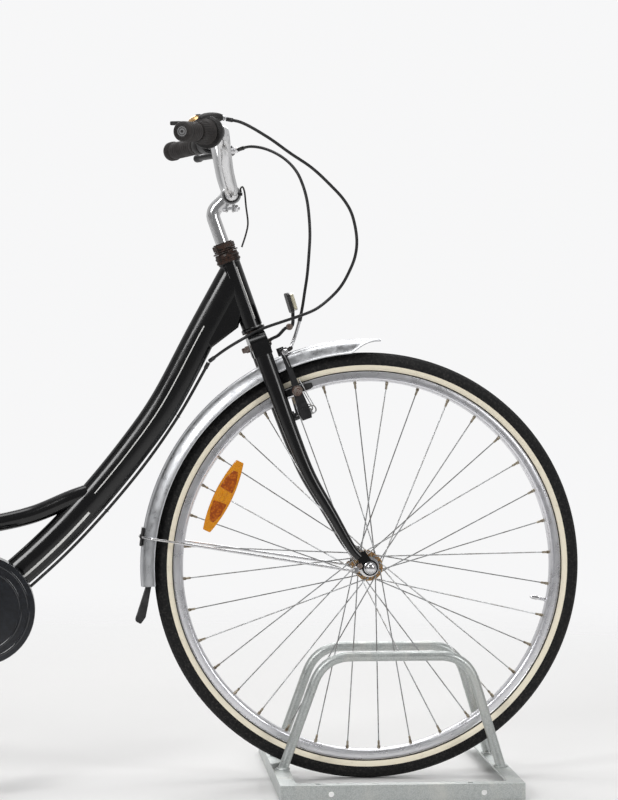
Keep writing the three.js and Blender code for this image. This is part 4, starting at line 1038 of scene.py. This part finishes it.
def twist_shifter():
    """Ribbed twist sleeve, its round flange and the housing with the cable's adjuster."""
    twist = [(BAR_R + 0.3, 0.4), (20.4, 0.4), (21, 1.4), (20.6, 4), (18.6, 6), (17.4, 10)]
    twist += [(17.2 - 0.055 * k * 1.6, 11 + k * 1.6) for k in range(15)] + [(15.6, 36.6), (15, 37.4),
                                                                            (BAR_R + 0.3, 37.4)]
    axis = bar_direction(-225)
    ribs = [tube([on_bar(-216) + out * 17.2 * MM, on_bar(-242) + out * 15.7 * MM], 0.85, 6)
            for out in around(axis, 28)]
    piece("shift_grip_sleeve", [sleeve(-208.8, twist), *ribs], "twist", GRIP_RUBBER,
          ["shift_grip"])
    flange = [(BAR_R + 0.3, 0), (17.6, 0), (24.4, 2.2), (26, 5.5), (26.2, 12.4), (25.2, 14), (21.6, 14.6),
              (21.2, 15.6), (BAR_R + 0.3, 15.6)]
    neck = [(BAR_R + 0.3, -22), (15.6, -22), (17, -20.4), (18.6, -2), (18.6, 1), (BAR_R + 0.3, 1)]
    centre = on_bar(-196)
    hump = curve([centre + Vector(p) * MM for p in ((-13, -7, 17), (-6, -5, 20.5), (6, -2, 23),
                                                    (15, 2, 23.4), (20, 4, 22.6))], 2)
    cover = sweep(hump, lambda t: oval(10.4 - 4.6 * t ** 2 - 5 * max(0, 0.15 - t),
                                       8.8 - 3.4 * t ** 2 - 5 * max(0, 0.15 - t), 24))
    screw = lathe(on_bar(-193) + Vector((0, 0, 17)) * MM, UP, [(0, 0), (3.4, 0), (3.4, 1.4), (0, 1.6)], 20)
    piece("shifter_body", [sleeve(-193, flange), sleeve(-193, neck), cover, screw], "steering",
          BLACK_PLASTIC, ["shifter_housing"], smooth=45)
    start, out = hump[-3], (hump[-1] - hump[-4]).normalized()
    barrel = [(0, 0), (3.6, 0)] + [(4.3 - 0.5 * (k % 2), 1 + k * 1.1)
                                   for k in range(7)] + [(3.2, 9.4), (0, 9.4)]
    piece("shifter_adjuster", [lathe(start, out, barrel, 24)], "steering", POLISHED)


def lever():
    """Brake lever, its clamp on the bar and its cable adjuster."""
    home = at(-216, 166, 1038)
    band = sleeve(160, collar(BAR_R + 0.3, 16, 0, 18, 0.8, 1))
    arm = slab([(-30, -6), (2, -7), (8, -2), (8, 4), (2, 8.4), (-18, 9), (-30, 7)], home, AHEAD, UP, -8, 8)
    piece("lever_bracket", [band, arm], "steering", BLACK_STEEL, ["brake_lever_bracket"],
          bevel=1.6)
    pivot_pin = [pin(home - UP * 8.6 * MM, home + UP * 10 * MM, 3.2, 20),
                 lathe(home, (at(-204, 140, 1039) - home).normalized(),
                       [(0, 7), (5.2, 7)] + [(5.2 - 0.5 * (k % 2), 9 + 1.2 * k) for k in range(12)]
                       + [(3.4, 24), (3.4, 31), (0, 31)], 24)]
    piece("lever_pivot_and_adjuster", pivot_pin, "steering", CHROME)
    path = curve([at(-214, 170, 1037.4), at(-213, 184, 1036), at(-215, 200, 1036), at(-232, 240, 1036),
                  at(-252, 275, 1034), at(-266, 296, 1032)], 4)
    blade = sweep(path, lambda t: oval(4.6 + 2.6 * t * (1 - t) * 2 + (2.2 if t > 0.94 else 0),
                                       6.6 + 1.2 * t, 20), UP)
    knob = ball(path[-1], 7, 24)
    piece("brake_lever_blade", [blade, knob], "lever", BLACK_STEEL, ["brake_lever"],
          smooth=50)


def bell():
    """Brass bell with a black cap and a thumb striker."""
    base = on_bar(189) - AHEAD * 2 * MM
    band = sleeve(181, [(BAR_R + 1, 0), (14.4, 0), (15, 0.8), (15, 15), (14.4, 16), (BAR_R + 1, 16)])
    foot = lathe(base, UP, [(0, 11), (9, 11), (9.4, 12), (7, 20), (7, 34), (0, 34)], 32)
    piece("bell_foot", [band, foot], "steering", BLACK_PLASTIC)
    dome = [(19.6, 33.5), (21, 33), (21.2, 34), (20.4, 38), (18, 43), (14, 47.4), (9, 50.2), (4, 51.6),
            (0, 52)]
    inner = [(0, 50.6), (8.4, 48.8), (13.2, 46.2), (17, 42), (19.2, 37.6)]
    piece("bell_dome", [lathe(base, UP, dome + inner, 56)], "steering", BELL_BRASS,
          ["bell"])
    cap = lathe(base, UP, [(0, 51.2), (6.4, 50.6), (6.8, 52), (5.4, 53), (0, 53.4)], 32)
    piece("bell_cap", [cap], "steering", BLACK_PLASTIC)
    thumb = slab([(-48, -2), (-50, 2), (-47, 6.4), (-38, 7.4), (-27, 5), (-23.5, 0), (-27, -5), (-38, -6)],
                 base + UP * 37.5 * MM, AHEAD, LEFT, -3.2, 3.6)
    piece("bell_thumb_lever", [thumb], "striker", BLACK_PLASTIC, ["bell_striker"],
          bevel=1.6)


stem()
handlebar()
grips()
twist_shifter()
lever()
bell()


# ------------------------------------------------------------------ cables
SHIFT_ROUTE = [(-240.4, -188.6, 1068.7), (-217, -183, 1064), (-174, -166, 1042), (-137, -147, 1018),
               (-101, -126, 996), (-70, -106, 970), (-46, -90, 946), (-32, -78, 923), (-23, -64, 883),
               (-25, -57, 857), (-33, -50, 834), (-47, -44, 808), (-64, -38, 789), (-87, -34, 771),
               (-113, -31, 760), (-143, -30, 750), (-174, -29, 739), (-205, -29, 723), (-234, -17, 705),
               (-259, -4, 686)]
SHIFT_ROUTE_LOWER = [(-260.7, -3.6, 683.4), (-272, 0, 662), (-310, 0, 596), (-362, 0, 521), (-427, 0, 442),
                     (-492, 0, 373), (-566, -2, 306), (-608, -8, 270), (-640, -14, 256), (-680, -22, 264),
                     (-740, -29, 281), (-860, -36, 300), (-960, -44, 315), (-1020, -52, 325),
                     (-1056, -61, 327), (-1076, -68.5, 335), (-1088, -70, 342)]
BRAKE_ROUTE = [(-201, 138, 1040), (-186, 117, 1043), (-166, 102, 1040), (-145, 88, 1031), (-126, 74, 1017),
               (-111, 60, 998), (-102, 48, 976), (-96, 38, 951), (-93, 31, 923), (-92, 26, 893),
               (-94, 22, 860), (-97, 20, 827), (-101, 20, 800), (-105, 22, 773), (-109, 26, 752)]
CABLE_R = 2.5


def cable(name, route, replaced, body):
    """A held cable: its sheath along the whole route, with a ferrule at each end."""
    path = curve([at(*p) for p in route], 3)
    piece(f"{name}_sheath", [tube(path, CABLE_R, 16)], body, SHEATH, [replaced])
    ends = []
    for end, inner in ((path[0], path[4]), (path[-1], path[-5])):
        ends.append(lathe(end, (inner - end).normalized(), [(0, -0.5), (3.1, -0.5), (3.4, 0), (3.4, 10),
                                                            (3.1, 10.6), (0, 10.6)], 24))
    piece(f"{name}_ferrules", ends, body, BLACK_STEEL)


cable("shift_cable", SHIFT_ROUTE, "shift_cable", "steering")
cable("shift_cable_lower", SHIFT_ROUTE_LOWER, "shift_cable_lower", "frame")
cable("brake_cable", BRAKE_ROUTE, "brake_cable", "steering")


def cable_tie():
    """A zip tie round the bar, with its head and its free tail."""
    centre = on_bar(-25)
    band = lathe(centre, bar_direction(-25), [(BAR_R + 0.2, -2.2), (12.6, -2.4), (12.8, -1.6), (12.8, 1.6),
                                              (12.6, 2.4), (BAR_R + 0.2, 2.2)], 40)
    head_at = centre + Vector((14.4, -2, 1)) * MM
    head_block = block(head_at, (6.2, 6.4, 5))
    tail = curve([head_at + Vector(p) * MM for p in ((1, -1, 3), (0, -2, 9), (3, -3, 12), (6, -2, 6),
                                                     (9, -2, -20), (12, -2, -48), (9, -2, -64),
                                                     (2, -1, -86))], 3)
    strap = sweep(tail, oblong(1.4, 0.7), AHEAD)
    piece("zip_tie", [band, head_block, strap], "steering", BLACK_PLASTIC, ["cable_tie"],
          bevel=0.25)


cable_tie()


# ------------------------------------------------------------------ mudguards
GUARD_R = 362
GUARD_HALF = 27


def guard_section(part):
    """The middle part of a half-round mudguard section with rolled edges, as (left, outward) points."""
    half, thick, steps = GUARD_HALF, 1.6, 22

    def rise(s):
        return 9.6 - 19.6 * abs(s) ** 4
    top = [(half * s, rise(s)) for s in (part * (2 * k / steps - 1) for k in range(steps + 1))]
    edge, low = half * part, rise(part)
    lips = [(edge + 1.4, low - 0.8), (edge + 0.6, low - 2.6), (edge - 1.8, low - 2.2),
            (edge - 2.2, low - 0.2)]
    under = [(y * (half - thick) / half, r - thick) for y, r in reversed(top)]
    return top + lips + under[2:-2] + [(-y, r) for y, r in reversed(lips)]


def guard(name, body, centre, first, last, replaced, pointed=False):
    """Mudguard over a wheel from one angle round to another."""
    steps = round(abs(last - first) / 1.6)
    path = [polar(centre, GUARD_R, first + (last - first) * k / steps) for k in range(steps + 1)]
    points = []
    for i, place in enumerate(path):
        out = (place - centre).normalized()
        part = 1 - 0.7 * max(0.0, 1 - i / 5) ** 1.3 if pointed else 1.0
        section = guard_section(part)
        points += [place + (LEFT * y + out * r) * MM for y, r in section]
    rows, width = len(path), len(section)
    faces = quads(rows, width) + end_caps(rows, width)
    piece(f"{name}_skin", [(points, faces)], body, GUARD_METAL, [replaced], smooth=45)
    bead = [place + ((place - centre).normalized() * 9.9) * MM for place in path]
    piece(f"{name}_crease", [sweep(bead, oval(1.6, 0.7, 10), LEFT)], body, GUARD_METAL)


def stay(name, body, centre, angle, end_angle, end_r, end_left, replaced):
    """Wire stays from a clip on the guard down to the axle end, one each side."""
    shapes = []
    out = (polar(centre, 1, angle) - centre).normalized()
    for side in (-1, 1):
        low = polar(centre, end_r, end_angle, side * end_left)
        far = polar(centre, 376.5, angle)
        bend = [low, polar(centre, end_r + 8, end_angle, side * (end_left + 2)),
                polar(centre, 344, angle, side * 32), polar(centre, 358, angle, side * 31),
                polar(centre, 372.5, angle, side * 14), far]
        shapes.append(tube(bent(bend, 6, 5), 2.1, 12))
        shapes.append(cross_pin(low, 2.6, 5.2, 20, 0.6))
    clip = slab(clipped(14, 15, 2, 3), centre + out * 373.4 * MM, LEFT, Vector((-out.z, 0, out.x)), -1.6,
                1.6)
    rivets = [lathe(centre + out * 375 * MM + LEFT * s * 8 * MM, out,
                    [(0, 0), (3, 0), (3.2, 0.6), (2.2, 1.8), (0, 2.2)], 18) for s in (-1, 1)]
    piece(f"{name}_wire", shapes, body, CHROME, [replaced])
    piece(f"{name}_clip", [clip, *rivets], body, BLACK_PLASTIC, bevel=0.5)


def mudguards():
    guard("front_mudguard", "steering", FRONT_AXLE, 86.6, 185, "front_mudguard", True)
    guard("rear_mudguard", "frame", REAR_AXLE, 22, 195, "rear_mudguard")
    stay("front_mudguard_stay", "steering", FRONT_AXLE, 172.4, 186, 24, 60.5, "front_mudguard_stay")
    stay("rear_mudguard_stay", "frame", REAR_AXLE, 150, 64, 69, 71.5, "rear_mudguard_stay")
    seat = polar(FRONT_AXLE, GUARD_R + 10, 107)
    mounting = [lathe(seat, polar(FRONT_AXLE, GUARD_R + 11, 107) - seat,
                      [(0, 0), (5, 0), (5, 2.4), (4, 3.4), (0, 3.8)], 24)]
    piece("front_mudguard_rivet", mounting, "steering", BOLT_RUST)
    flap_side = [(-353, 340), (-362, 335), (-363, 318), (-370, 296), (-377, 274), (-381, 262), (-372, 257),
                 (-364, 268), (-360, 288), (-357, 306), (-354, 322)]
    flap = slab(flap_side, at(0, 0, 0), AHEAD, UP, -16, 16)
    piece("front_mudflap_rubber", [flap], "steering", FLAP_RUBBER, ["front_mudflap"],
          bevel=2.0)


mudguards()


# ------------------------------------------------------------------ front reflector
def front_reflector():
    centre = at(-125, 0, 782)
    tilt = math.radians(17)
    up = Vector((-math.sin(tilt), 0, math.cos(tilt)))
    shell = slab(clipped(31, 17, 7, 3), centre, LEFT, up, -6, -0.5)
    piece("front_reflector_housing", [shell], "steering", BLACK_PLASTIC,
          ["front_reflector"], bevel=1.8)
    piece("front_reflector_lens", [slab(clipped(28, 14.4, 6, 2.4), centre, LEFT, up, -0.5, 5.5)],
          "steering", CREAM_LENS, bevel=0.8)
    arm = curve([on_axis(-34, 15), on_axis(-22, 20), at(-146, 0, 728), at(-134, 0, 740), at(-124, 0, 743),
                 at(-122, 0, 768)], 4)
    strap = sweep(arm, oblong(6, 2.6), LEFT)
    piece("front_reflector_bracket", [strap], "steering", BLACK_STEEL, bevel=1.2)
    knuckle = pin(at(-128, -8, 742), at(-128, 8, 742), 5.4, 24, 1)
    piece("front_reflector_pivot", [knuckle], "steering", BOLT_RUST)


front_reflector()


# ------------------------------------------------------------------ frame tubes
WHITE_LINE = 2.1                 # half width of the white lining on the tubes
MAIN_WIDE, MAIN_DEEP = 17, 25.5  # half sizes of the oval main tube
MAIN_PATH = curve([on_axis(98), at(-270, 0, 733), at(-335, 0, 612), at(-386, 0, 540), at(-450, 0, 462),
                   at(-514, 0, 394), at(-587, 0, 329), at(-638, 0, 293)], 5)


UPPER_PLACES = [at(-450, 0, 474), at(-484, 0, 462), at(-545, 0, 437), at(-604, 0, 423), at(-660, 0, 415),
                on_seat(140)]


def path_part(path, start, end):
    """The part of a path between two fractions of its length."""
    last = len(path) - 1
    return [path[k] for k in range(round(start * last), round(end * last) + 1)]


def surface_line(ring_angle, half_line, start, end):
    """A painted line lying on the main tube at one angle round it, between two fractions of its length."""
    part = path_part(MAIN_PATH, start, end)
    angle = math.radians(ring_angle)
    proud = 0.25
    points = []
    for a, b in zip(part, part[1:] + [part[-1] + (part[-1] - part[-2])]):
        along = (b - a).normalized()
        side = (LEFT - along * LEFT.dot(along)).normalized()
        normal = along.cross(side)
        points.append(a + side * (MAIN_WIDE + proud) * math.cos(angle) * MM
                      + normal * (MAIN_DEEP + proud) * math.sin(angle) * MM)
    return sweep(points, oblong(0.2, half_line), LEFT)


def frame_tubes():
    piece("main_tube_shell", [sweep(MAIN_PATH, oval(MAIN_WIDE, MAIN_DEEP, 40), LEFT)], "frame", BLACK_PAINT,
          ["main_tube"], smooth=60)
    piece("upper_tube_shell", [tube(curve(UPPER_PLACES, 5), 14.3, 32)], "frame", BLACK_PAINT,
          ["upper_tube"], smooth=60)
    shell = lathe(BRACKET, LEFT, collar(15, 20.4, -34, 34, 0.8, 1), 48)
    seat_tube = pin(on_seat(0), on_seat(470), 15.9, 40, 0.8)
    piece("seat_tube_shell", [seat_tube, shell], "frame", BLACK_PAINT, ["seat_tube"],
          smooth=60)
    gusset = slab([(-258, 706), (-212, 741), (-200, 790), (-222, 826), (-250, 790), (-276, 735)],
                  at(0, 0, 0), AHEAD, UP, -13, 13)
    piece("head_gusset", [gusset], "frame", BLACK_PAINT, bevel=4)


def weld_beads():
    """Weld beads where the tubes meet: at the head tube, the upper tube and the bracket shell."""
    dice = random.Random(7)
    main_start = on_axis(98)
    rings = []
    across_path = [main_start + (AXIS_UP * (dice.uniform(-1.5, 1.5) + 34 * math.cos(2 * math.pi * k / 40))
                                 + LEFT * 15 * math.sin(2 * math.pi * k / 40)
                                 - AXIS_AHEAD * (13 + 3.6 * math.cos(4 * math.pi * k / 40))) * MM
                   for k in range(40)]
    rings.append(sweep(across_path, oval(2.1, 2.1, 8), closed=True))
    rings.append(ring_bead(on_seat(140, 12), (UPPER_PLACES[3] - UPPER_PLACES[-1]).normalized(), 15.4, 1.9,
                           21, 48))
    rings.append(ring_bead(on_seat(440, -6), AXIS_AHEAD, 16.4, 1.4, 33, 48))
    rings.append(ring_bead(on_seat(30), SEAT_UP, 17.2, 1.9, 39, 48))
    piece("frame_weld_beads", rings, "frame", BLACK_PAINT, smooth=70)


frame_tubes()
weld_beads()


def pinstripes():
    """Plain white lining on both flanks of the main tube and one line on the head tube."""
    lines = [surface_line(angle, WHITE_LINE, 0.66, 0.97) for angle in (24, 156)]
    stripe = [surface_line(angle, 0.9, 0.14, 0.62) for angle in (-8, 188)]
    piece("main_tube_pinstripes", lines + stripe, "frame", WHITE_PAINT)
    head_line = []
    for side in (-1, 1):
        out = (AXIS_AHEAD * 0.45 + LEFT * side * 0.893).normalized()
        head_line.append(sweep([on_axis(h) + out * (HEAD_R + 0.1) * MM for h in range(20, 111, 6)],
                               oblong(0.5, 0.7), out.cross(AXIS_UP)))
    piece("head_tube_pinstripes", head_line, "frame", WHITE_PAINT)


pinstripes()


def cable_clips():
    """Loops that hold the long cable to the frame."""
    clips = []
    for place in ((-310, 0, 596), (-427, 0, 442), (-566, -2, 306)):
        centre = at(*place)
        clips.append(lathe(centre, at(-427, 0, 442) - at(-310, 0, 596),
                           [(2.6, -3), (4, -3), (4, 3), (2.6, 3)], 24))
    piece("cable_guides", clips, "frame", BLACK_PLASTIC)


cable_clips()


def rear_triangle():
    for name, side in SIDES:
        chain_path = curve([at(-652, side * 22, 284), at(-740, side * 30, 296), at(-860, side * 38, 314),
                            at(-1000, side * 56, 335), at(-1070, side * 62, 346)], 6)
        seat_path = curve([on_seat(440) + LEFT * side * 22 * MM, at(-900, side * 40, 600),
                           at(-1000, side * 52, 480), at(-1096, side * 62.5, 376)], 6)
        end_plate = REAR_AXLE + LEFT * side * STAY_HALF * MM
        disc = lathe(end_plate, LEFT, collar(5.2, 19, -2.5, 2.5, 0.6, 0.7), 48)
        tab = slab([(-58, -12), (-15, -12), (-15, 10), (-40, 12), (-58, 8)], end_plate, AHEAD, UP, -2.5,
                   2.5)
        stay_tube = tube(chain_path, 8.5, 20)
        piece(f"chain_stay_{name}_tube", [stay_tube, disc, tab], "frame", BLACK_PAINT,
              [f"chain_stay_{name}"])
        bridge = pin(on_seat(440), on_seat(440) + LEFT * side * 22 * MM, 6.5, 24)
        piece(f"seat_stay_{name}_tube", [tube(seat_path, 7.2, 20), bridge], "frame", BLACK_PAINT,
              [f"seat_stay_{name}"])
    plate = block(at(-712, 29, 271), (24, 17.5, 42))
    piece("kickstand_plate", [plate], "frame", BLACK_PAINT, bevel=3)


rear_triangle()


# ------------------------------------------------------------------ drivetrain and chain case
CHAIN_Y = -46
CRANK_LEN = 170
LINK_PITCH = 12.7
RING_TEETH, COG_TEETH = 38, 18
CHAINRING_PITCH_R = RING_TEETH * LINK_PITCH / (2 * math.pi)
SPROCKET_PITCH_R = COG_TEETH * LINK_PITCH / (2 * math.pi)


def belt_outline(front, front_r, rear, rear_r):
    """The outline of a belt round two circles, as (x, z) points in design millimetres."""
    fx, fz = front
    rx, rz = rear
    gap = math.hypot(fx - rx, fz - rz)
    slope = math.atan2(fz - rz, fx - rx)
    swing = math.acos((rear_r - front_r) / gap)
    steps = 40
    points = []
    for k in range(steps + 1):
        angle = slope - swing + 2 * swing * k / steps
        points.append((fx + front_r * math.cos(angle), fz + front_r * math.sin(angle)))
    for k in range(steps + 1):
        angle = slope + swing + (2 * math.pi - 2 * swing) * k / steps
        points.append((rx + rear_r * math.cos(angle), rz + rear_r * math.sin(angle)))
    return points


FRONT_BELT = (-632, 287)
REAR_BELT = (-1100, 350)


def gear(teeth, pitch_r, tooth):
    """Toothed outline of a sprocket, as (x, z) offsets."""
    points = []
    for k in range(teeth * 4):
        radius = pitch_r + (tooth if k % 4 in (1, 2) else -tooth * 0.6)
        angle = 2 * math.pi * (k + 0.5) / (teeth * 4)
        points.append((radius * math.cos(angle), radius * math.sin(angle)))
    return points


def drivetrain():
    rings = slab(gear(RING_TEETH, CHAINRING_PITCH_R, 3.4), BRACKET + LEFT * CHAIN_Y * MM, AHEAD, UP, -1.5,
                 1.5)
    cog = slab(gear(COG_TEETH, SPROCKET_PITCH_R, 3.2), REAR_AXLE + LEFT * CHAIN_Y * MM, AHEAD, UP, -1.5,
               1.5)
    piece("rear_cog", [cog], "sprocket", BLACK_STEEL, ["rear_sprocket"], bevel=0.3)
    axle = cross_pin(BRACKET, 84, 8, 28, 0.8)
    piece("bracket_axle_rod", [axle], "crank", BLACK_STEEL, ["bottom_bracket_axle"])
    for name, side in reversed(SIDES):
        centre = BRACKET + LEFT * side * 84.5 * MM
        foot = centre + UP * side * CRANK_LEN * MM
        arm = sweep([centre.lerp(foot, k / 12) for k in range(13)], lambda t: oval(14 - 4 * t, 6.4, 20),
                    LEFT)
        boss = lathe(centre, LEFT, collar(8.2, 18, -6.4, 6.4), 40)
        eye = lathe(foot, LEFT, collar(6.2, 13, -6.4, 6.4), 40)
        spindle = pin(foot + LEFT * side * -2 * MM, foot + LEFT * side * 108 * MM, 6, 24)
        bolt = pin(centre + LEFT * side * 6 * MM, centre + LEFT * side * 9.4 * MM, 6.6, 24)
        shapes = [arm, boss, eye, spindle, bolt]
        if name == "right":
            shapes.append(rings)
        piece(f"crank_{name}_forging", shapes, "crank", POLISHED, [f"crank_arm_{name}"],
              bevel=0.8)


def pedals():
    for name, side in reversed(SIDES):
        foot = BRACKET + UP * side * CRANK_LEN * MM
        middle = foot + LEFT * side * 143 * MM
        tilt = math.radians(78)
        flat = Vector((math.cos(tilt), 0, math.sin(tilt)))
        across = Vector((-math.sin(tilt), 0, math.cos(tilt)))
        rails = [block(middle + flat * s * 39 * MM, (8, 24, 92), flat, across) for s in (-1, 1)]
        ends = [block(middle + LEFT * s * 43 * MM, (80, 26, 8), flat, across) for s in (-1, 1)]
        core = cross_pin(middle, 46, 9.6, 24)
        piece(f"pedal_{name}_frame", [*rails, *ends, core], f"pedal_{name}_body", BLACK_PLASTIC,
              [f"pedal_{name}"], bevel=1.8)
        lenses = [block(middle + flat * s * 43.4 * MM, (1.4, 14, 40), flat, across) for s in (-1, 1)]
        piece(f"pedal_{name}_reflectors", lenses, f"pedal_{name}_body", AMBER, bevel=0.5)


def case_and_chain():
    belt = belt_outline(FRONT_BELT, CHAINRING_PITCH_R + 6, REAR_BELT, SPROCKET_PITCH_R + 6)
    path = [at(x, CHAIN_Y, z) for x, z in belt]
    piece("chain_links", [sweep(path, oblong(3.4, 2.6), LEFT, closed=True)], "frame", BLACK_STEEL,
          ["chain"])
    outline = belt_outline(FRONT_BELT, 89, REAR_BELT, 58)
    inner = belt_outline(FRONT_BELT, 87, REAR_BELT, 56)
    case = slab(outline, at(0, 0, 0), AHEAD, UP, 38, 76)
    target = piece("chain_case_shell", [case], "frame", CASE_GLOSS, ["chain_case"])
    hollow = slab(inner, at(0, 0, 0), AHEAD, UP, 36.5, 74)
    crank_hole = pin(BRACKET - LEFT * 90 * MM, BRACKET - LEFT * 20 * MM, 19, 40)
    axle_window = pin(REAR_AXLE - LEFT * 90 * MM, REAR_AXLE - LEFT * 20 * MM, 16, 40)
    notch = block(at(-1070, -50, 405), (80, 40, 70))
    drill(target, [hollow, crank_hole, axle_window, notch])
    soften(target, 1.6)
    rim = [sweep([at(x, -76, z) for x, z in belt_outline(FRONT_BELT, r, REAR_BELT, r - 31)],
                 oval(1.6, 2.4, 10), LEFT, closed=True) for r in (79, 66)]
    piece("chain_case_ridge", rim, "frame", CASE_GLOSS)


drivetrain()
pedals()
case_and_chain()


# ------------------------------------------------------------------ seat
def seat_parts():
    post = pin(on_seat(250), on_seat(632), 13.1, 36, 0.6)
    clamp_rod = cross_pin(on_seat(624), 24, 13, 32)
    rails = []
    rail_z = on_seat(632).z / MM
    for side in (-1, 1):
        rail = curve([at(-945, side * 44, rail_z + 28), at(-915, side * 30, rail_z + 4),
                      at(-875, side * 22, rail_z - 2), at(-825, side * 20, rail_z),
                      at(-770, side * 12, rail_z + 26)], 5)
        rails.append(tube(rail, 3.6, 14))
    piece("seat_post_tube", [post, clamp_rod, *rails], "seat", CHROME, ["seat_post"])
    ring = lathe(on_seat(0), SEAT_UP, collar(16.2, 19.6, 452, 466, 0.4, 1), 48)
    lug = block(on_seat(459, -25), (16, 18, 13), SEAT_AHEAD, SEAT_UP)
    bolt = cross_pin(on_seat(459, -27), 14, 4.2, 20)
    piece("seat_clamp_band", [ring, lug, bolt], "frame", BLACK_STEEL, ["seat_clamp"],
          bevel=0.6)


SADDLE_STATIONS = [(-1000, 40, 34), (-985, 84, 52), (-945, 104, 60), (-895, 92, 54), (-845, 58, 46),
                   (-795, 34, 40), (-750, 25, 34), (-728, 14, 22)]
SADDLE_BASE_Z = 912.4


def saddle():
    """Crowned vinyl shell, its underside 8 mm below the base line."""
    sides = 44
    lengthwise = curve([Vector((x * MM, w * MM, h * MM)) for x, w, h in SADDLE_STATIONS], 4)
    points = []
    for place in lengthwise:
        x, half, height = place.x, place.y, place.z
        for k in range(sides):
            angle = 2 * math.pi * k / sides
            y = half * math.cos(angle)
            up = math.sin(angle)
            z = height * up ** 0.75 if up > 0 else -8 * MM * abs(up) ** 0.5
            points.append(at(x / MM, y / MM, SADDLE_BASE_Z + z / MM))
    rows = len(lengthwise)
    faces = quads(rows, sides) + end_caps(rows, sides)
    return piece("saddle_shell", [(points, faces)], "seat", VINYL, ["saddle"], smooth=70)


seat_parts()
saddle_shell = saddle()


# ------------------------------------------------------------------ kickstand and floor stand
def kickstand():
    path = bent([at(-712, 46, 262), at(-740, 56, 259), at(-930, 82, 250)], 12, 8)
    leg = tube(path, 7, 20)
    foot = ball(at(-942, 83.8, 249.4), 9.4, 20)
    cap = pin(at(-712, 40, 262), at(-712, 52, 262), 11, 32)
    piece("kickstand_leg", [leg, foot, cap], "leg", BLACK_STEEL, ["kickstand"])


HOOP_Y = 75                      # half the gap between the hoops
HOOP_FEET = (-144, 212)
HOOP_TOP = 208


def floor_stand():
    x_low, x_high, y_low, y_high, leg, thick = -160, 226, -250, 300, 26, 3
    front = [block(at((x_low + x_high) / 2, y_low + thick / 2, leg / 2), (x_high - x_low, thick, leg)),
             block(at((x_low + x_high) / 2, y_low + leg / 2, leg - thick / 2),
                   (x_high - x_low, leg, thick))]
    sides = []
    for x, inward in ((x_low, 1), (x_high, -1)):
        sides.append(block(at(x + inward * thick / 2, (y_low + y_high) / 2, leg / 2),
                           (thick, y_high - y_low, leg)))
        sides.append(block(at(x + inward * leg / 2, (y_low + y_high) / 2, leg - thick / 2),
                           (leg, y_high - y_low, thick)))
    target = piece("stand_angle_frame", [*front, *sides], "stand", GALVANISED, ["stand_base"])
    cutters = [pin(at(x, y_low - 6, 12), at(x, y_low + 8, 12), 4.5, 24) for x in (-80, 161)]
    cutters += [pin(at(x, -235, leg - 8), at(x, -235, leg + 4), 4.5, 24) for x in (-100, 141)]
    drill(target, cutters)
    soften(target, 0.8)
    for name, side in reversed(SIDES):
        y = side * HOOP_Y
        path = bent([at(HOOP_FEET[0], y, 26.3), at(-78, y, HOOP_TOP), at(157, y, HOOP_TOP),
                     at(HOOP_FEET[1], y, 26.3)], 46, 12)
        piece(f"stand_hoop_{name}_rod", [tube(path, 8, 28)], "stand", GALVANISED,
              [f"stand_hoop_{name}"])
        beads = []
        for k, x in enumerate(HOOP_FEET):
            beads.append(ring_bead(at(x, y, 26.8), UP, 9.4, 2.4, 60 + k + y, 32))
            beads.append(ball(at(x + (6 if k == 0 else -6), y, 27), 4.4, 14))
        piece(f"stand_hoop_{name}_welds", beads, "stand", GALVANISED, smooth=70)


kickstand()
floor_stand()
